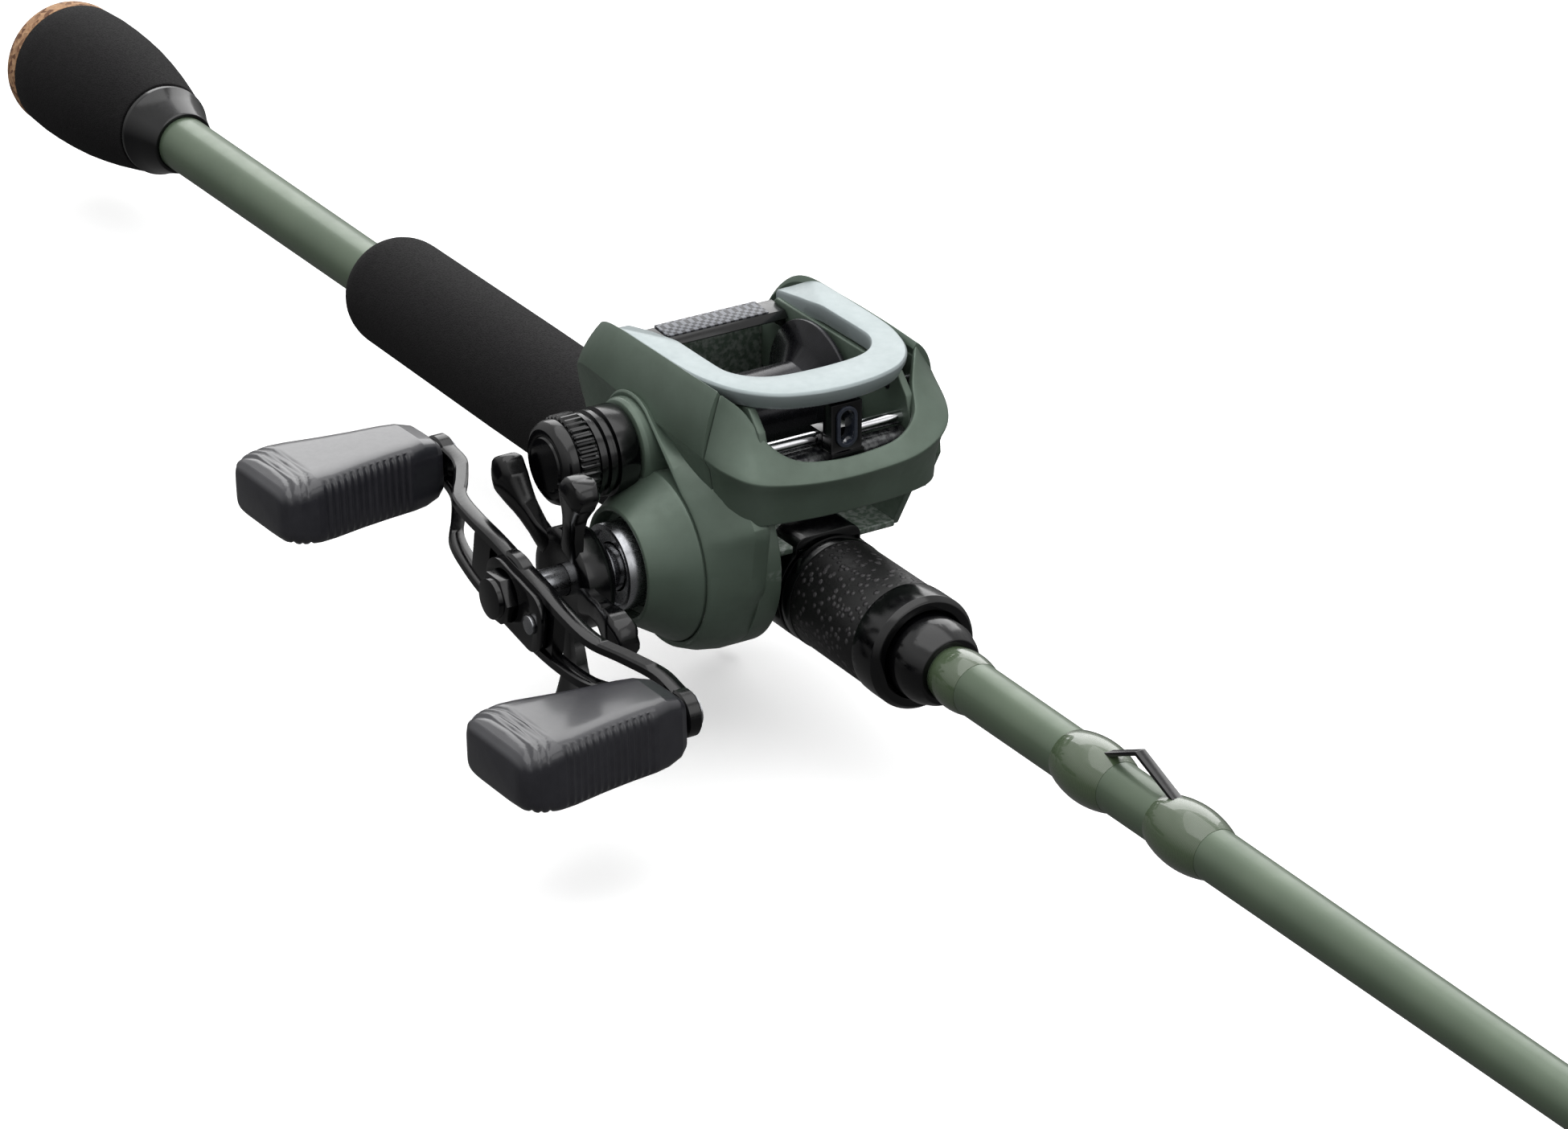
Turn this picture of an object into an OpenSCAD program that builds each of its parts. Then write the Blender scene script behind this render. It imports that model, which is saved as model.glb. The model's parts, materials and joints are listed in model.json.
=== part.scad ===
/* [Rod] */
// Overall length of the rod
rod_len = 2134; // [1950:1:2400]
// Outer diameter of the blank at the butt
blank_butt_d = 13.4; // [12.6:0.1:14]
// Outer diameter of the blank at the tip
blank_tip_d = 1.9; // [1.6:0.1:2.2]
// Largest diameter of the butt grip
butt_grip_d = 32.4; // [28:0.1:36]
// Largest diameter of the rear grip
rear_grip_d = 25; // [23:0.1:28]
// Outer diameter of the reel seat
seat_d = 22; // [21.6:0.1:22.4]
// Outer diameter of the seat nut
seat_nut_d = 23; // [22.6:0.1:24]
// Pitch of the seat thread
seat_pitch = 1.5; // [1:0.1:2]

/* [Guides] */
// Inner diameter of the ring nearest the reel
guide_ring_d = 10.6; // [9:0.1:12]
// Inner diameter of the small running rings
running_ring_d = 5; // [4.6:0.1:5.6]
// Thickness of the guide frame metal
guide_wire = 1.1; // [1:0.1:1.4]

/* [Reel body] */
// Distance from the butt to the middle of the reel
reel_x = 333; // [325:1:345]
// Half width between the two frame walls
wall_in = 15.6; // [15.5:0.1:15.8]
// Thickness of a frame wall
wall_t = 1.7; // [1.5:0.1:1.8]
// Height of the hood above the rod axis
hood_top = 45; // [44.5:0.1:46]
// Half width of the hood
hood_half = 22.3; // [21.5:0.1:23]
// Radius of the spool flange
spool_r = 15.7; // [15:0.1:15.8]
// Radius of the spool arbor
arbor_r = 8.2; // [7.5:0.1:9]

/* [Drive] */
// Gear module
gear_m = 0.46; // [0.45:0.01:0.46]
// Teeth on the drive gear
drive_teeth = 82; // [80:1:82]
// Teeth on the pinion
pinion_teeth = 13; // [13:1:14]
// Length of the handle from end to end
handle_len = 101; // [95:1:108]
// Length of a handle knob
knob_len = 38; // [34:1:42]
// Radius of the star drag
star_r = 27; // [24:0.5:28]

/* [Hidden] */
$fn = 64;
nodes_rod = ["blank", "butt_cork", "butt_grip", "butt_check", "rear_grip", "reel_seat", "seat_hood",
    "seat_nut", "nut_sleeve", "nut_collar", "hook_keeper", "thread_wraps", "guide_1", "guide_2",
    "guide_3", "guide_4", "running_guides", "guide_rings", "tip_top"];
nodes_body = ["reel_foot", "reel_frame", "top_hood", "handle_side_plate", "palm_side_plate",
    "plate_screws", "brake_dial", "brake_magnets", "guide_bars", "line_guide", "line_guide_eye", "pawl",
    "worm_shaft", "worm_gear", "idler_gear"];
nodes_drive = ["spool", "spool_shaft", "ball_bearings", "pinion_gear", "pinion_yoke", "yoke_springs",
    "clutch_cam", "thumb_bar", "drive_gear", "levelwind_gear", "drag_washers", "drive_shaft",
    "one_way_bearing", "bearing_cover", "clutch_sleeve", "drag_springs", "star_drag",
    "tension_cap", "handle_arm", "handle_nut", "nut_retainer", "retainer_screw", "knob_spindles",
    "knob_bushings", "knob_a", "knob_b"];

// Colours
sage = [0.36, 0.45, 0.38];
hood_grey = [0.66, 0.72, 0.70];
foam = [0.12, 0.12, 0.12];
gloss_black = [0.05, 0.05, 0.06];
steel = [0.72, 0.73, 0.75];
brass = [0.78, 0.62, 0.30];

// Rod stations, measured from the butt
cork_len = 7;
grip_end = 56;
check_end = 68;
rear_start = 169;
seat_start = 284;
fit_gap = 0.05;
blank_stations = [0, 392, 560, 900, 1500, rod_len];
function blank_r(x) = lookup(x, [[0, blank_butt_d / 2], [392, 5.25], [560, 4.45], [900, 3.5],
    [1500, 2.15], [rod_len, blank_tip_d / 2]]);
guide_x = [860, 1105, 1310, 1480];
running_x = [for (i = [0:4]) 1625 + (rod_len - 1725) * (1 - pow(0.84, i)) / (1 - pow(0.84, 5))];
guide_r = [guide_ring_d / 2, guide_ring_d * 0.38, guide_ring_d * 0.32, running_ring_d / 2 + 0.2];
guide_h = [17.5, 13.5, 11.5, 10];

// Reel stations, measured from the middle of the reel with Y across and Z up
seat_top = 6.9;
foot_t = 1.8;
floor_t = 1.4;
wall_out = wall_in + wall_t;
hood_t = 3.4;
hood_low = hood_top - hood_t;
axis_d = gear_m * (drive_teeth + pinion_teeth) / 2;
drive_c = [-1.2, 7.1];
axis_a = 118;
spool_c = drive_c + axis_d * [cos(axis_a), sin(axis_a)];
worm_c = [17.6, 28];
bar_c = [16.6, 32.6];
eye_z = 36.2;
small_teeth = 34;
idler_teeth = 30;
worm_teeth = 14;
train_m = 0.54;
idler_r1 = train_m * (small_teeth + idler_teeth) / 2;
idler_r2 = train_m * (idler_teeth + worm_teeth) / 2;
span = norm(worm_c - drive_c);
worm_a = atan2(worm_c[1] - drive_c[1], worm_c[0] - drive_c[0]);
idler_a = acos((idler_r1 * idler_r1 + span * span - idler_r2 * idler_r2) / (2 * idler_r1 * span));
idler_dir = worm_a + idler_a;
idler_c = drive_c + idler_r1 * [cos(idler_dir), sin(idler_dir)];
mesh_dir = atan2(worm_c[1] - idler_c[1], worm_c[0] - idler_c[0]);
drive_phase = axis_a;
pinion_phase = axis_a + 180 + 180 / pinion_teeth;
small_phase = idler_dir;
idler_phase = idler_dir + 180 + 180 / idler_teeth;
idler_step = 360 / idler_teeth;
mesh_lag = mesh_dir - idler_phase - idler_step * round((mesh_dir - idler_phase) / idler_step);
worm_phase = mesh_dir + 180 + mesh_lag * idler_teeth / worm_teeth + 180 / worm_teeth;
screw_c = [[-33, 24], [12, 37.5]];
pin_c = [spool_c + [-8, 3.5], spool_c + [8, 3.5]];
drum_r = gear_m * drive_teeth / 2 + 1.75;
gear_y = -22.2;
gear_w = 2.6;
train_y = -19.3;
train_w = 0.9;
worm_room = train_m * (worm_teeth / 2 + 0.85) + 0.45;
plate_front = 20.6;
star_y = -47;
hub_y = -57;
arm_t = 3;
handle_a = -10;
knob_x = handle_len / 2 - 4;
arm_end_y = -48;

module at_reel() { translate([reel_x, 0, 0]) children(); }
module on_axis(c) { translate([c[0], 0, c[1]]) children(); }
module lathe_x(points) { rotate([0, 90, 0]) rotate_extrude() polygon(points); }
module tube_x(x0, x1, r, bore) { lathe_x([[bore, x0], [r, x0], [r, x1], [bore, x1]]); }
module rod_y(c, y0, y1, r) {
    translate([c[0], y1, c[1]]) rotate([90, 0, 0]) cylinder(h = y1 - y0, r = r);
}
module lathe_y(c, points) {
    on_axis(c) rotate([-90, 0, 0]) rotate_extrude() polygon(points);
}
module tube_y(c, y0, y1, r, bore) {
    difference() {
        rod_y(c, y0, y1, r);
        rod_y(c, y0 - 1, y1 + 1, bore);
    }
}
module plate_y(y0, y1) { translate([0, y1, 0]) rotate([90, 0, 0]) linear_extrude(y1 - y0) children(); }
module box(low, high) { translate(low) cube(high - low); }
module strut(p, q, r) {
    d = q - p;
    translate(p) rotate([0, acos(d[2] / norm(d)), atan2(d[1], d[0])]) cylinder(h = norm(d), r = r, $fn = 24);
}
module rounded(low, high, r) {
    union() {
        translate([low[0] + r, low[1]]) square([high[0] - low[0] - 2 * r, high[1] - low[1]]);
        translate([low[0], low[1] + r]) square([high[0] - low[0], high[1] - low[1] - 2 * r]);
        for (x = [low[0] + r, high[0] - r], y = [low[1] + r, high[1] - r]) translate([x, y]) circle(r);
    }
}
module toothed(teeth, m, phase) {
    outer = m * (teeth / 2 + 0.85);
    root = m * (teeth / 2 - 1.15);
    step = 360 / teeth;
    polygon([for (i = [0:teeth - 1], k = [[-0.27, 0], [-0.1, 1], [0.1, 1], [0.27, 0]])
        let (a = phase + (i + k[0]) * step, r = k[1] == 1 ? outer : root) [r * cos(a), r * sin(a)]]);
}
module gear_y_at(c, y0, y1, teeth, m, phase, bore) {
    difference() {
        on_axis(c) plate_y(y0, y1) toothed(teeth, m, phase);
        rod_y(c, y0 - 1, y1 + 1, bore);
    }
}

// ---- Rod ----
module blank() {
    outside = [for (x = blank_stations) [blank_r(x), max(x, 3)]];
    inside = [for (i = [len(blank_stations) - 1:-1:0]) let (x = blank_stations[i])
        [blank_r(x) * 0.8, max(x, 3)]];
    color(sage) lathe_x(concat(outside, inside));
}
module butt_cork() {
    r = butt_grip_d / 2 - 0.4;
    color([0.66, 0.5, 0.36]) lathe_x([[0, 0], [r - 3, 0], [r - 1.3, 0.6], [r - 0.4, 1.7], [r, 3.2],
        [r, cork_len], [blank_r(0) + fit_gap, cork_len], [blank_r(0) + fit_gap, 3], [0, 3]]);
}
module butt_grip() {
    r = butt_grip_d / 2;
    bore = blank_r(cork_len) + fit_gap;
    color(foam) lathe_x([[bore, cork_len], [r - 0.3, cork_len], [r, 14], [r - 0.4, 26], [r - 1.7, 38],
        [r - 3.4, 48], [r - 5.2, grip_end], [bore, grip_end]]);
}
module butt_check() {
    bore = blank_r(grip_end) + fit_gap;
    color(gloss_black) lathe_x([[bore, grip_end], [10.8, grip_end], [10.8, grip_end + 2], [8.6, 64],
        [7.4, check_end], [bore, check_end]]);
}
module rear_grip() {
    r = rear_grip_d / 2;
    bore = blank_r(rear_start) + fit_gap;
    color(foam) lathe_x([[bore, rear_start], [r - 3.4, rear_start], [r - 1.6, rear_start + 2],
        [r - 0.5, rear_start + 6], [r, 185], [r, 232], [r - 0.7, seat_start], [bore, seat_start]]);
}
module trigger_outline() {
    polygon([[-38, -9], [-34, -12.5], [-29, -16], [-27, -22], [-25.6, -27], [-23.2, -28.6], [-21, -27.2],
        [-20.4, -22], [-18.5, -15.5], [-14, -11.5], [-8, -9]]);
}
module reel_seat() {
    core = blank_r(seat_start) + fit_gap;
    thread_r = 8.95;
    color(gloss_black) at_reel() difference() {
        union() {
            tube_x(-49, 7, seat_d / 2, core);
            tube_x(7, 47, thread_r - 0.35, core);
            for (x = [15:seat_pitch:46]) tube_x(x, x + seat_pitch * 0.55, thread_r, core + 1);
            plate_y(-3.2, 3.2) trigger_outline();
        }
        box([-33, -15, seat_top], [7.5, 15, 20]);
        box([7, -7, seat_top], [18, 7, 20]);
        box([-40, -7.2, seat_top], [-32.9, 7.2, 9.2]);
        rotate([0, 90, 0]) translate([0, 0, -60]) cylinder(h = 120, r = core);
    }
}
module seat_hood() {
    color(gloss_black) at_reel() difference() {
        union() {
            tube_x(8, 16, 11.4, 9);
            translate([8, 0, 0]) rotate([90, 0, 90]) linear_extrude(8) rounded([-7.4, 4], [7.4, 12], 2.5);
        }
        translate([7, 0, 0]) rotate([0, 90, 0]) cylinder(h = 10, r = 9);
        box([7, -6.6, 5], [17, 6.6, 9.4]);
    }
}
module seat_nut() {
    r = seat_nut_d / 2;
    color(gloss_black) at_reel() lathe_x([[9, 16.3], [10.8, 16.3], [r - 0.2, 17.2], [r - 0.2, 20],
        [r - 1.1, 20], [r - 1.1, 42], [r - 0.1, 42], [r, 44], [r, 48.6], [r - 0.9, 49.8], [9, 49.8]]);
}
module nut_sleeve() {
    r = seat_nut_d / 2;
    color([0.14, 0.13, 0.13]) at_reel() tube_x(20.05, 41.95, r - 0.35, r - 1.05);
}
module nut_collar() {
    core = blank_r(reel_x + 47) + fit_gap;
    color(gloss_black) at_reel() lathe_x([[core, 47.1], [8.4, 47.1], [8.4, 54], [7.6, 56.5], [6.6, 58.5],
        [core, 58.5]]);
}
module hook_keeper() {
    z = blank_r(reel_x + 100) + 0.1;
    color(gloss_black) at_reel() plate_y(-1.1, 1.1)
        polygon([[101, z], [109, z], [118, z + 4.2], [129, z], [136, z], [136, z + 0.7], [129.4, z + 0.7],
            [118, z + 5.1], [108.6, z + 0.7], [101, z + 0.7]]);
}
module wrap(x0, x1, build) {
    bore = blank_r(x0) + fit_gap;
    mid = (x1 - x0) / 5;
    color([0.3, 0.36, 0.2]) lathe_x([[bore, x0], [bore + 0.25, x0], [bore + build, x0 + mid],
        [bore + build, x1 - mid], [bore + 0.25, x1], [bore, x1]]);
}
module thread_wraps() {
    wrap(reel_x + 58.6, reel_x + 67, 0.5);
    wrap(reel_x + 98, reel_x + 111, 1);
    wrap(reel_x + 127, reel_x + 140, 1);
    for (i = [0:3], side = [-1, 1]) {
        mid = guide_x[i] + side * (guide_h[i] * 0.8 + 7);
        wrap(mid - 7, mid + 7, 0.9);
    }
    for (x = running_x) wrap(x - 12.5, x - 2.5, 0.8);
    wrap(rod_len - 24, rod_len - 12, 0.5);
}
// Ring of wire around the line, on legs that stand on a foot along the blank
module guide_frame(x, ring_r, h, double) {
    reach = h * 0.8;
    z = blank_r(x - (double ? reach + 11 : 11)) + 0.1;
    shell = ring_r + 1.1;
    leg = shell + 0.6;
    color([0.16, 0.16, 0.17]) {
        translate([x, 0, h]) tube_x(-guide_wire, guide_wire, shell + 0.8, shell);
        for (side = double ? [-1, 1] : [-1], y = [-1, 1]) {
            foot = x + side * (double ? reach : 4);
            strut([x, y * leg * 0.77, h - leg * 0.64], [foot, y * 0.6, z + 0.5], guide_wire / 2);
        }
        for (side = double ? [-1, 1] : [-1]) {
            near = double ? reach - 1 : 3;
            far = double ? reach + 11 : 11;
            box([x + min(side * near, side * far), -1.1, z - 0.1],
                [x + max(side * near, side * far), 1.1, z + 0.6]);
        }
    }
}
module guide_1() { guide_frame(guide_x[0], guide_r[0], guide_h[0], true); }
module guide_2() { guide_frame(guide_x[1], guide_r[1], guide_h[1], true); }
module guide_3() { guide_frame(guide_x[2], guide_r[2], guide_h[2], true); }
module guide_4() { guide_frame(guide_x[3], guide_r[3], guide_h[3], true); }
module running_guides() { for (x = running_x) guide_frame(x, running_ring_d / 2, 7.4, false); }
module ring_insert(x, ring_r, h) {
    translate([x, 0, h]) lathe_x([[ring_r, -0.5], [ring_r + 0.6, -1.3], [ring_r + 1.05, -1.3],
        [ring_r + 1.05, 1.3], [ring_r + 0.6, 1.3], [ring_r, 0.5]]);
}
module guide_rings() {
    color([0.2, 0.21, 0.23]) {
        for (i = [0:3]) ring_insert(guide_x[i], guide_r[i], guide_h[i]);
        for (x = running_x) ring_insert(x, running_ring_d / 2, 7.4);
        ring_insert(rod_len + 2, running_ring_d / 2, 4.6);
    }
}
module tip_top() {
    r = running_ring_d / 2 + 1.1;
    color([0.16, 0.16, 0.17]) {
        tube_x(rod_len - 12, rod_len + 0.5, blank_tip_d / 2 + 0.6, blank_tip_d / 2 + 0.12);
        translate([rod_len + 2, 0, 4.6]) tube_x(-guide_wire, guide_wire, r + 0.8, r);
        for (y = [-1, 1]) strut([rod_len - 8, y * 1.45, 0.6], [rod_len + 2, y * (r + 0.4), 3.2], 0.5);
    }
}

// ---- Reel body ----
module reel_foot() {
    color(gloss_black) at_reel() union() {
        box([-37.5, -6.4, seat_top], [15.4, 6.4, seat_top + foot_t]);
        box([-26, -9, seat_top], [5, 9, seat_top + foot_t]);
    }
}
module side_outline() {
    polygon([[-35.5, 20], [-36.5, 27], [-34, 35.5], [-28, hood_low], [17, hood_low], [23, 37],
        [25, 29], [24.4, 20], [14, 8.7], [-27, 8.7]]);
}
// Nose of the frame: a lip that wraps round the line opening
module nose() {
    difference() {
        translate([0, 0, 19.6]) linear_extrude(9.4) rounded([-8, -24.8], [27, 24.8], 11);
        translate([0, 0, 18]) linear_extrude(12) rounded([-20, -21.8], [23.6, 21.8], 9);
        box([-20, -30, 15], [10, 30, 35]);
        box([5, -26, 15], [21, -wall_out, 35]);
        box([5, -21, 15], [22.3, -wall_out, 35]);
        box([5, wall_out, 15], [21, 26, 35]);
    }
}
module reel_frame() {
    color(sage) at_reel() difference() {
        union() {
            plate_y(-wall_out, -wall_in) side_outline();
            plate_y(wall_in, wall_out) side_outline();
            box([-27, -wall_in - 0.1, seat_top + foot_t], [7.6, wall_in + 0.1, seat_top + foot_t + floor_t]);
            box([-36, -wall_in - 0.1, 20], [-33.6, wall_in + 0.1, 34]);
            nose();
            intersection() {
                rod_y(drive_c, -wall_out, -12.4, drum_r);
                box([-40, -20, -20], [40, -10, seat_top + foot_t]);
            }
            rod_y(drive_c, -wall_out, -wall_in, drum_r);
            for (c = pin_c) rod_y(c, -23.1, -wall_in - 1, 1);
        }
        rod_y(spool_c, 10, 20, spool_r + 0.6);
        rod_y(spool_c, -17.9, -10, 4.2);
        rod_y(drive_c, -20, -13.4, 4.02);
        rod_y(worm_c, -20, 20, 1.55);
        rod_y(bar_c, -20, 20, 1.03);
        rod_y(idler_c, -20, -14, 1.52);
        box([-33.3, -20, 32], [-22.4, 20, 42]);
        box([-25, 10, 34], [-15, 20, 42]);
        for (c = screw_c) rod_y(c, -30, 30, 1.05);
    }
}
module hood_plan(inset) {
    difference() {
        rounded([-30 + inset, -hood_half + inset], [25.3 - inset, hood_half - inset], 10 - inset);
        rounded([-60, -16.3 - inset], [14.4 + inset, 16.3 + inset], 7);
    }
}
module top_hood() {
    color(hood_grey) at_reel() {
        translate([0, 0, hood_low + 0.1]) linear_extrude(hood_t - 1) hood_plan(0);
        translate([0, 0, hood_top - 0.9]) linear_extrude(0.9) hood_plan(0.7);
    }
}
// Outline of a side plate, drawn in by inset
module plate_outline(inset) {
    polygon([[-38.5 + inset, 24], [-38 + inset, 33.5], [-34 + inset, 38.5], [-25, hood_low - inset],
        [plate_front - 10, hood_low - inset], [plate_front - inset / 2, 34], [plate_front - inset / 2, 21],
        [15, 15 + inset / 2], [-24, 12 + inset], [-35 + inset, 17 + inset]]);
}
// Two layers, with the front end behind the frame's nose
module plate_shell(side) {
    mirror([0, side, 0]) difference() {
        union() {
            plate_y(-24.4, -wall_out - 0.05) plate_outline(0);
            plate_y(-26.4, -24.4) plate_outline(2);
        }
        difference() {
            plate_y(-23.2, -10) plate_outline(1.6);
            for (c = screw_c) rod_y(c, -26, -10, 2.2);
        }
        for (c = screw_c) rod_y(c, -22, -10, 1.05);
    }
}
module handle_side_plate() {
    color(sage) at_reel() difference() {
        union() {
            plate_shell(0);
            lathe_y(drive_c, [[0, -36.6], [11.6, -36.6], [11.9, -35.6], [16.9, -28.2], [17.6, -27.6],
                [drum_r, -21.5], [drum_r, -wall_out - 0.05], [0, -wall_out - 0.05]]);
            rod_y(spool_c, -29.5, -23.2, 10.4);
            rod_y(spool_c, -34, -23.2, 7.2);
        }
        rod_y(drive_c, -24.8, -10, drum_r - 1.1);
        difference() {
            plate_y(-23.2, -10) plate_outline(1.6);
            for (c = screw_c) rod_y(c, -26, -10, 2.2);
        }
        rod_y(worm_c, -20.8, -10, worm_room);
        rod_y(spool_c, -26.6, -10, 6);
        rod_y(spool_c, -40, -10, 3.03);
        rod_y(drive_c, -31, -20, 7.55);
        rod_y(drive_c, -40, -30.95, 8.65);
        rod_y(drive_c, -32, -20, 5);
        rod_y(drive_c, -40, -33.5, 9.8);
        difference() {
            rod_y(spool_c, -50, -29.55, 9.3);
            rod_y(spool_c, -50, -20, 7.2);
        }
    }
}
module palm_side_plate() {
    color(sage) at_reel() difference() {
        union() {
            plate_shell(1);
            rod_y(spool_c, 23.2, 27.6, 14);
        }
        rod_y(spool_c, 10, 25.6, 12.4);
        rod_y(spool_c, 10, 40, 9.9);
    }
}
module plate_screws() {
    color(steel) at_reel() for (c = screw_c) {
        rod_y(c, -21.8, -wall_in, 1);
        rod_y(c, wall_in, 21.8, 1);
    }
}
module brake_dial() {
    color([0.15, 0.15, 0.16]) at_reel() difference() {
        union() {
            rod_y(spool_c, 25.9, 28.4, 9.6);
            for (a = [0:18:342]) on_axis(spool_c) rotate([0, a, 0])
                translate([9.2, 27, 0]) rotate([90, 0, 0]) cylinder(h = 1, r = 0.6);
            rod_y(spool_c, 23, 26, 3);
        }
        rod_y(spool_c, 22, 24.8, 1.6);
        box([spool_c[0] - 8, 27.6, spool_c[1] - 0.7], [spool_c[0] + 8, 30, spool_c[1] + 0.7]);
    }
}
module brake_magnets() {
    color(steel) at_reel() {
        tube_y(spool_c, 20.6, 21.6, 11.6, 5);
        for (a = [0:60:300]) on_axis(spool_c) rotate([0, a, 0])
            rod_y([8.4, 0], 18.9, 20.7, 2);
    }
}
module guide_bars() {
    color(steel) at_reel() {
        rod_y(bar_c, -wall_out, wall_out, 1);
        difference() {
            rod_y(worm_c, -wall_in + 0.2, wall_in - 0.2, 3.1);
            rod_y(worm_c, -20, 20, 2.5);
            box([worm_c[0], -11.6, worm_c[1] - 1.1], [worm_c[0] + 5, 11.6, worm_c[1] + 1.1]);
        }
    }
}
module worm_shaft() {
    cuts = 5;
    color(steel) at_reel() union() {
        rod_y(worm_c, -20.4, wall_out, 1.5);
        difference() {
            rod_y(worm_c, -13, 13, 2.2);
            for (i = [-cuts:cuts]) translate([worm_c[0], i * 2.2, worm_c[1]])
                rotate([0, 0, i % 2 == 0 ? 14 : -14]) tube_y([0, 0], -0.4, 0.4, 4, 1.75);
        }
    }
}
module worm_gear() {
    color([0.85, 0.84, 0.8]) at_reel()
        gear_y_at(worm_c, train_y - train_w, train_y + train_w, worm_teeth, train_m, worm_phase, 1.55);
}
module idler_gear() {
    color([0.85, 0.84, 0.8]) at_reel() {
        gear_y_at(idler_c, train_y - train_w, train_y + train_w, idler_teeth, train_m, idler_phase, 1.0);
        rod_y(idler_c, train_y - train_w, -wall_in - 0.3, 1.5);
    }
}
module line_guide() {
    color(gloss_black) at_reel() difference() {
        union() {
            box([worm_c[0] - 3.9, -3.6, worm_c[1] - 4.2], [worm_c[0] + 5.2, 3.6, worm_c[1] + 3.4]);
            box([bar_c[0] - 2, -3.2, worm_c[1] + 3.3], [bar_c[0] + 2, 3.2, bar_c[1] + 1.8]);
            box([bar_c[0] + 2.6, -3.4, worm_c[1] + 3.3], [bar_c[0] + 5.6, 3.4, eye_z + 4.8]);
        }
        rod_y(worm_c, -10, 10, 3.16);
        rod_y(bar_c, -10, 10, 1.05);
        eye_cut(2.3, 4.2);
        translate([worm_c[0] + 3, 0, worm_c[1]]) rotate([0, 90, 0]) cylinder(h = 5, r = 1.55);
    }
}
module eye_cut(half_w, half_h) {
    translate([bar_c[0] + 2.3, 0, eye_z]) rotate([90, 0, 90]) linear_extrude(6)
        rounded([-half_w, -half_h], [half_w, half_h], half_w - 0.05);
}
module line_guide_eye() {
    color([0.12, 0.13, 0.15]) at_reel() difference() {
        intersection() {
            eye_cut(2.25, 4.15);
            box([bar_c[0] + 2.6, -4, 30], [bar_c[0] + 6, 4, 45]);
        }
        eye_cut(1.5, 3.4);
    }
}
module pawl() {
    color(steel) at_reel() on_axis(worm_c) rotate([0, 90, 0]) {
        translate([0, 0, 3.2]) cylinder(h = 1.9, r = 1.5);
        translate([-0.4, -0.9, 2.3]) cube([0.8, 1.8, 1.2]);
    }
}

// ---- Drive ----
module spool() {
    half = wall_in - 1.2;
    color([0.1, 0.1, 0.11]) at_reel() lathe_y(spool_c, [[2.55, -8], [4.4, -8], [4.4, -half + 1], [6, -half],
        [spool_r, -half], [spool_r, -half + 1], [arbor_r + 3.2, -half + 2.6], [arbor_r, -half + 5],
        [arbor_r, half - 5], [arbor_r + 3.2, half - 2.6], [spool_r, half - 1], [spool_r, half], [6, half],
        [4.4, half - 1], [4.4, 8], [2.55, 8]]);
}
module spool_shaft() {
    color(steel) at_reel() union() {
        rod_y(spool_c, -38.6, 23, 1.5);
        rod_y(spool_c, -9, 9, 2.5);
    }
}
module bearing(c, y0, y1, r, bore) {
    mid = (r + bore) / 2;
    lathe_y(c, [[bore, y0], [mid - 0.3, y0], [mid - 0.3, y0 + 0.3], [mid + 0.3, y0 + 0.3],
        [mid + 0.3, y0], [r, y0], [r, y1], [bore, y1]]);
}
module ball_bearings() {
    color(steel) at_reel() {
        bearing(spool_c, 18.8, 21.3, 4.95, 1.55);
        bearing(spool_c, -34, -31.8, 3, 1.55);
        bearing(drive_c, -wall_out, -14.6, 4, 2.05);
    }
}
module pinion_gear() {
    color(brass) at_reel() {
        difference() {
            union() {
                on_axis(spool_c) plate_y(-23.8, -19.4) toothed(pinion_teeth, gear_m, pinion_phase);
                rod_y(spool_c, -24.6, -23.8, 3.3);
                rod_y(spool_c, -19.4, -16.9, 2.38);
                rod_y(spool_c, -17, -15.9, 3.3);
            }
            rod_y(spool_c, -30, -10, 1.56);
        }
    }
}
module pinion_yoke() {
    color([0.8, 0.8, 0.78]) at_reel() difference() {
        on_axis(spool_c) plate_y(-19.2, -18.1)
            polygon([[-10, 1.5], [-10, 5.5], [10, 5.5], [10, 1.5], [4.2, -1], [-4.2, -1]]);
        rod_y(spool_c, -30, -10, 2.45);
        for (c = pin_c) rod_y(c, -30, -10, 1.05);
    }
}
// Closed helix of round wire about an axis along Y
module coil(c, y0, y1, r, wire, turns) {
    sides = 8;
    steps = turns * 14;
    rings = [for (i = [0:steps]) let (a = i / 14 * 360, y = y0 + (y1 - y0) * i / steps)
        for (k = [0:sides - 1]) let (b = k * 360 / sides, q = r + wire * cos(b))
            [c[0] + q * cos(a), y + wire * sin(b), c[1] + q * sin(a)]];
    walls = [for (i = [0:steps - 1], k = [0:sides - 1])
        [i * sides + k, (i + 1) * sides + k, (i + 1) * sides + (k + 1) % sides, i * sides + (k + 1) % sides]];
    polyhedron(rings, concat([[for (k = [0:sides - 1]) k]], walls,
        [[for (k = [sides - 1:-1:0]) steps * sides + k]]));
}
module yoke_springs() {
    color(steel) at_reel() for (c = pin_c) coil(c, -23, -19.45, 1.55, 0.22, 4);
}
module clutch_cam() {
    color(steel) at_reel() difference() {
        union() {
            rod_y(spool_c, -18, -17.4, 6.4);
            on_axis(spool_c) plate_y(-18, -17.4) polygon([[-13, 1], [-13, 4], [-4.5, 4], [-5.5, -1]]);
        }
        rod_y(spool_c, -30, -10, 3.5);
        for (a = [0:4:20]) on_axis(spool_c) rotate([0, a, 0]) rod_y([-8, 3.5], -30, -10, 1.35);
    }
}
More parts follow.
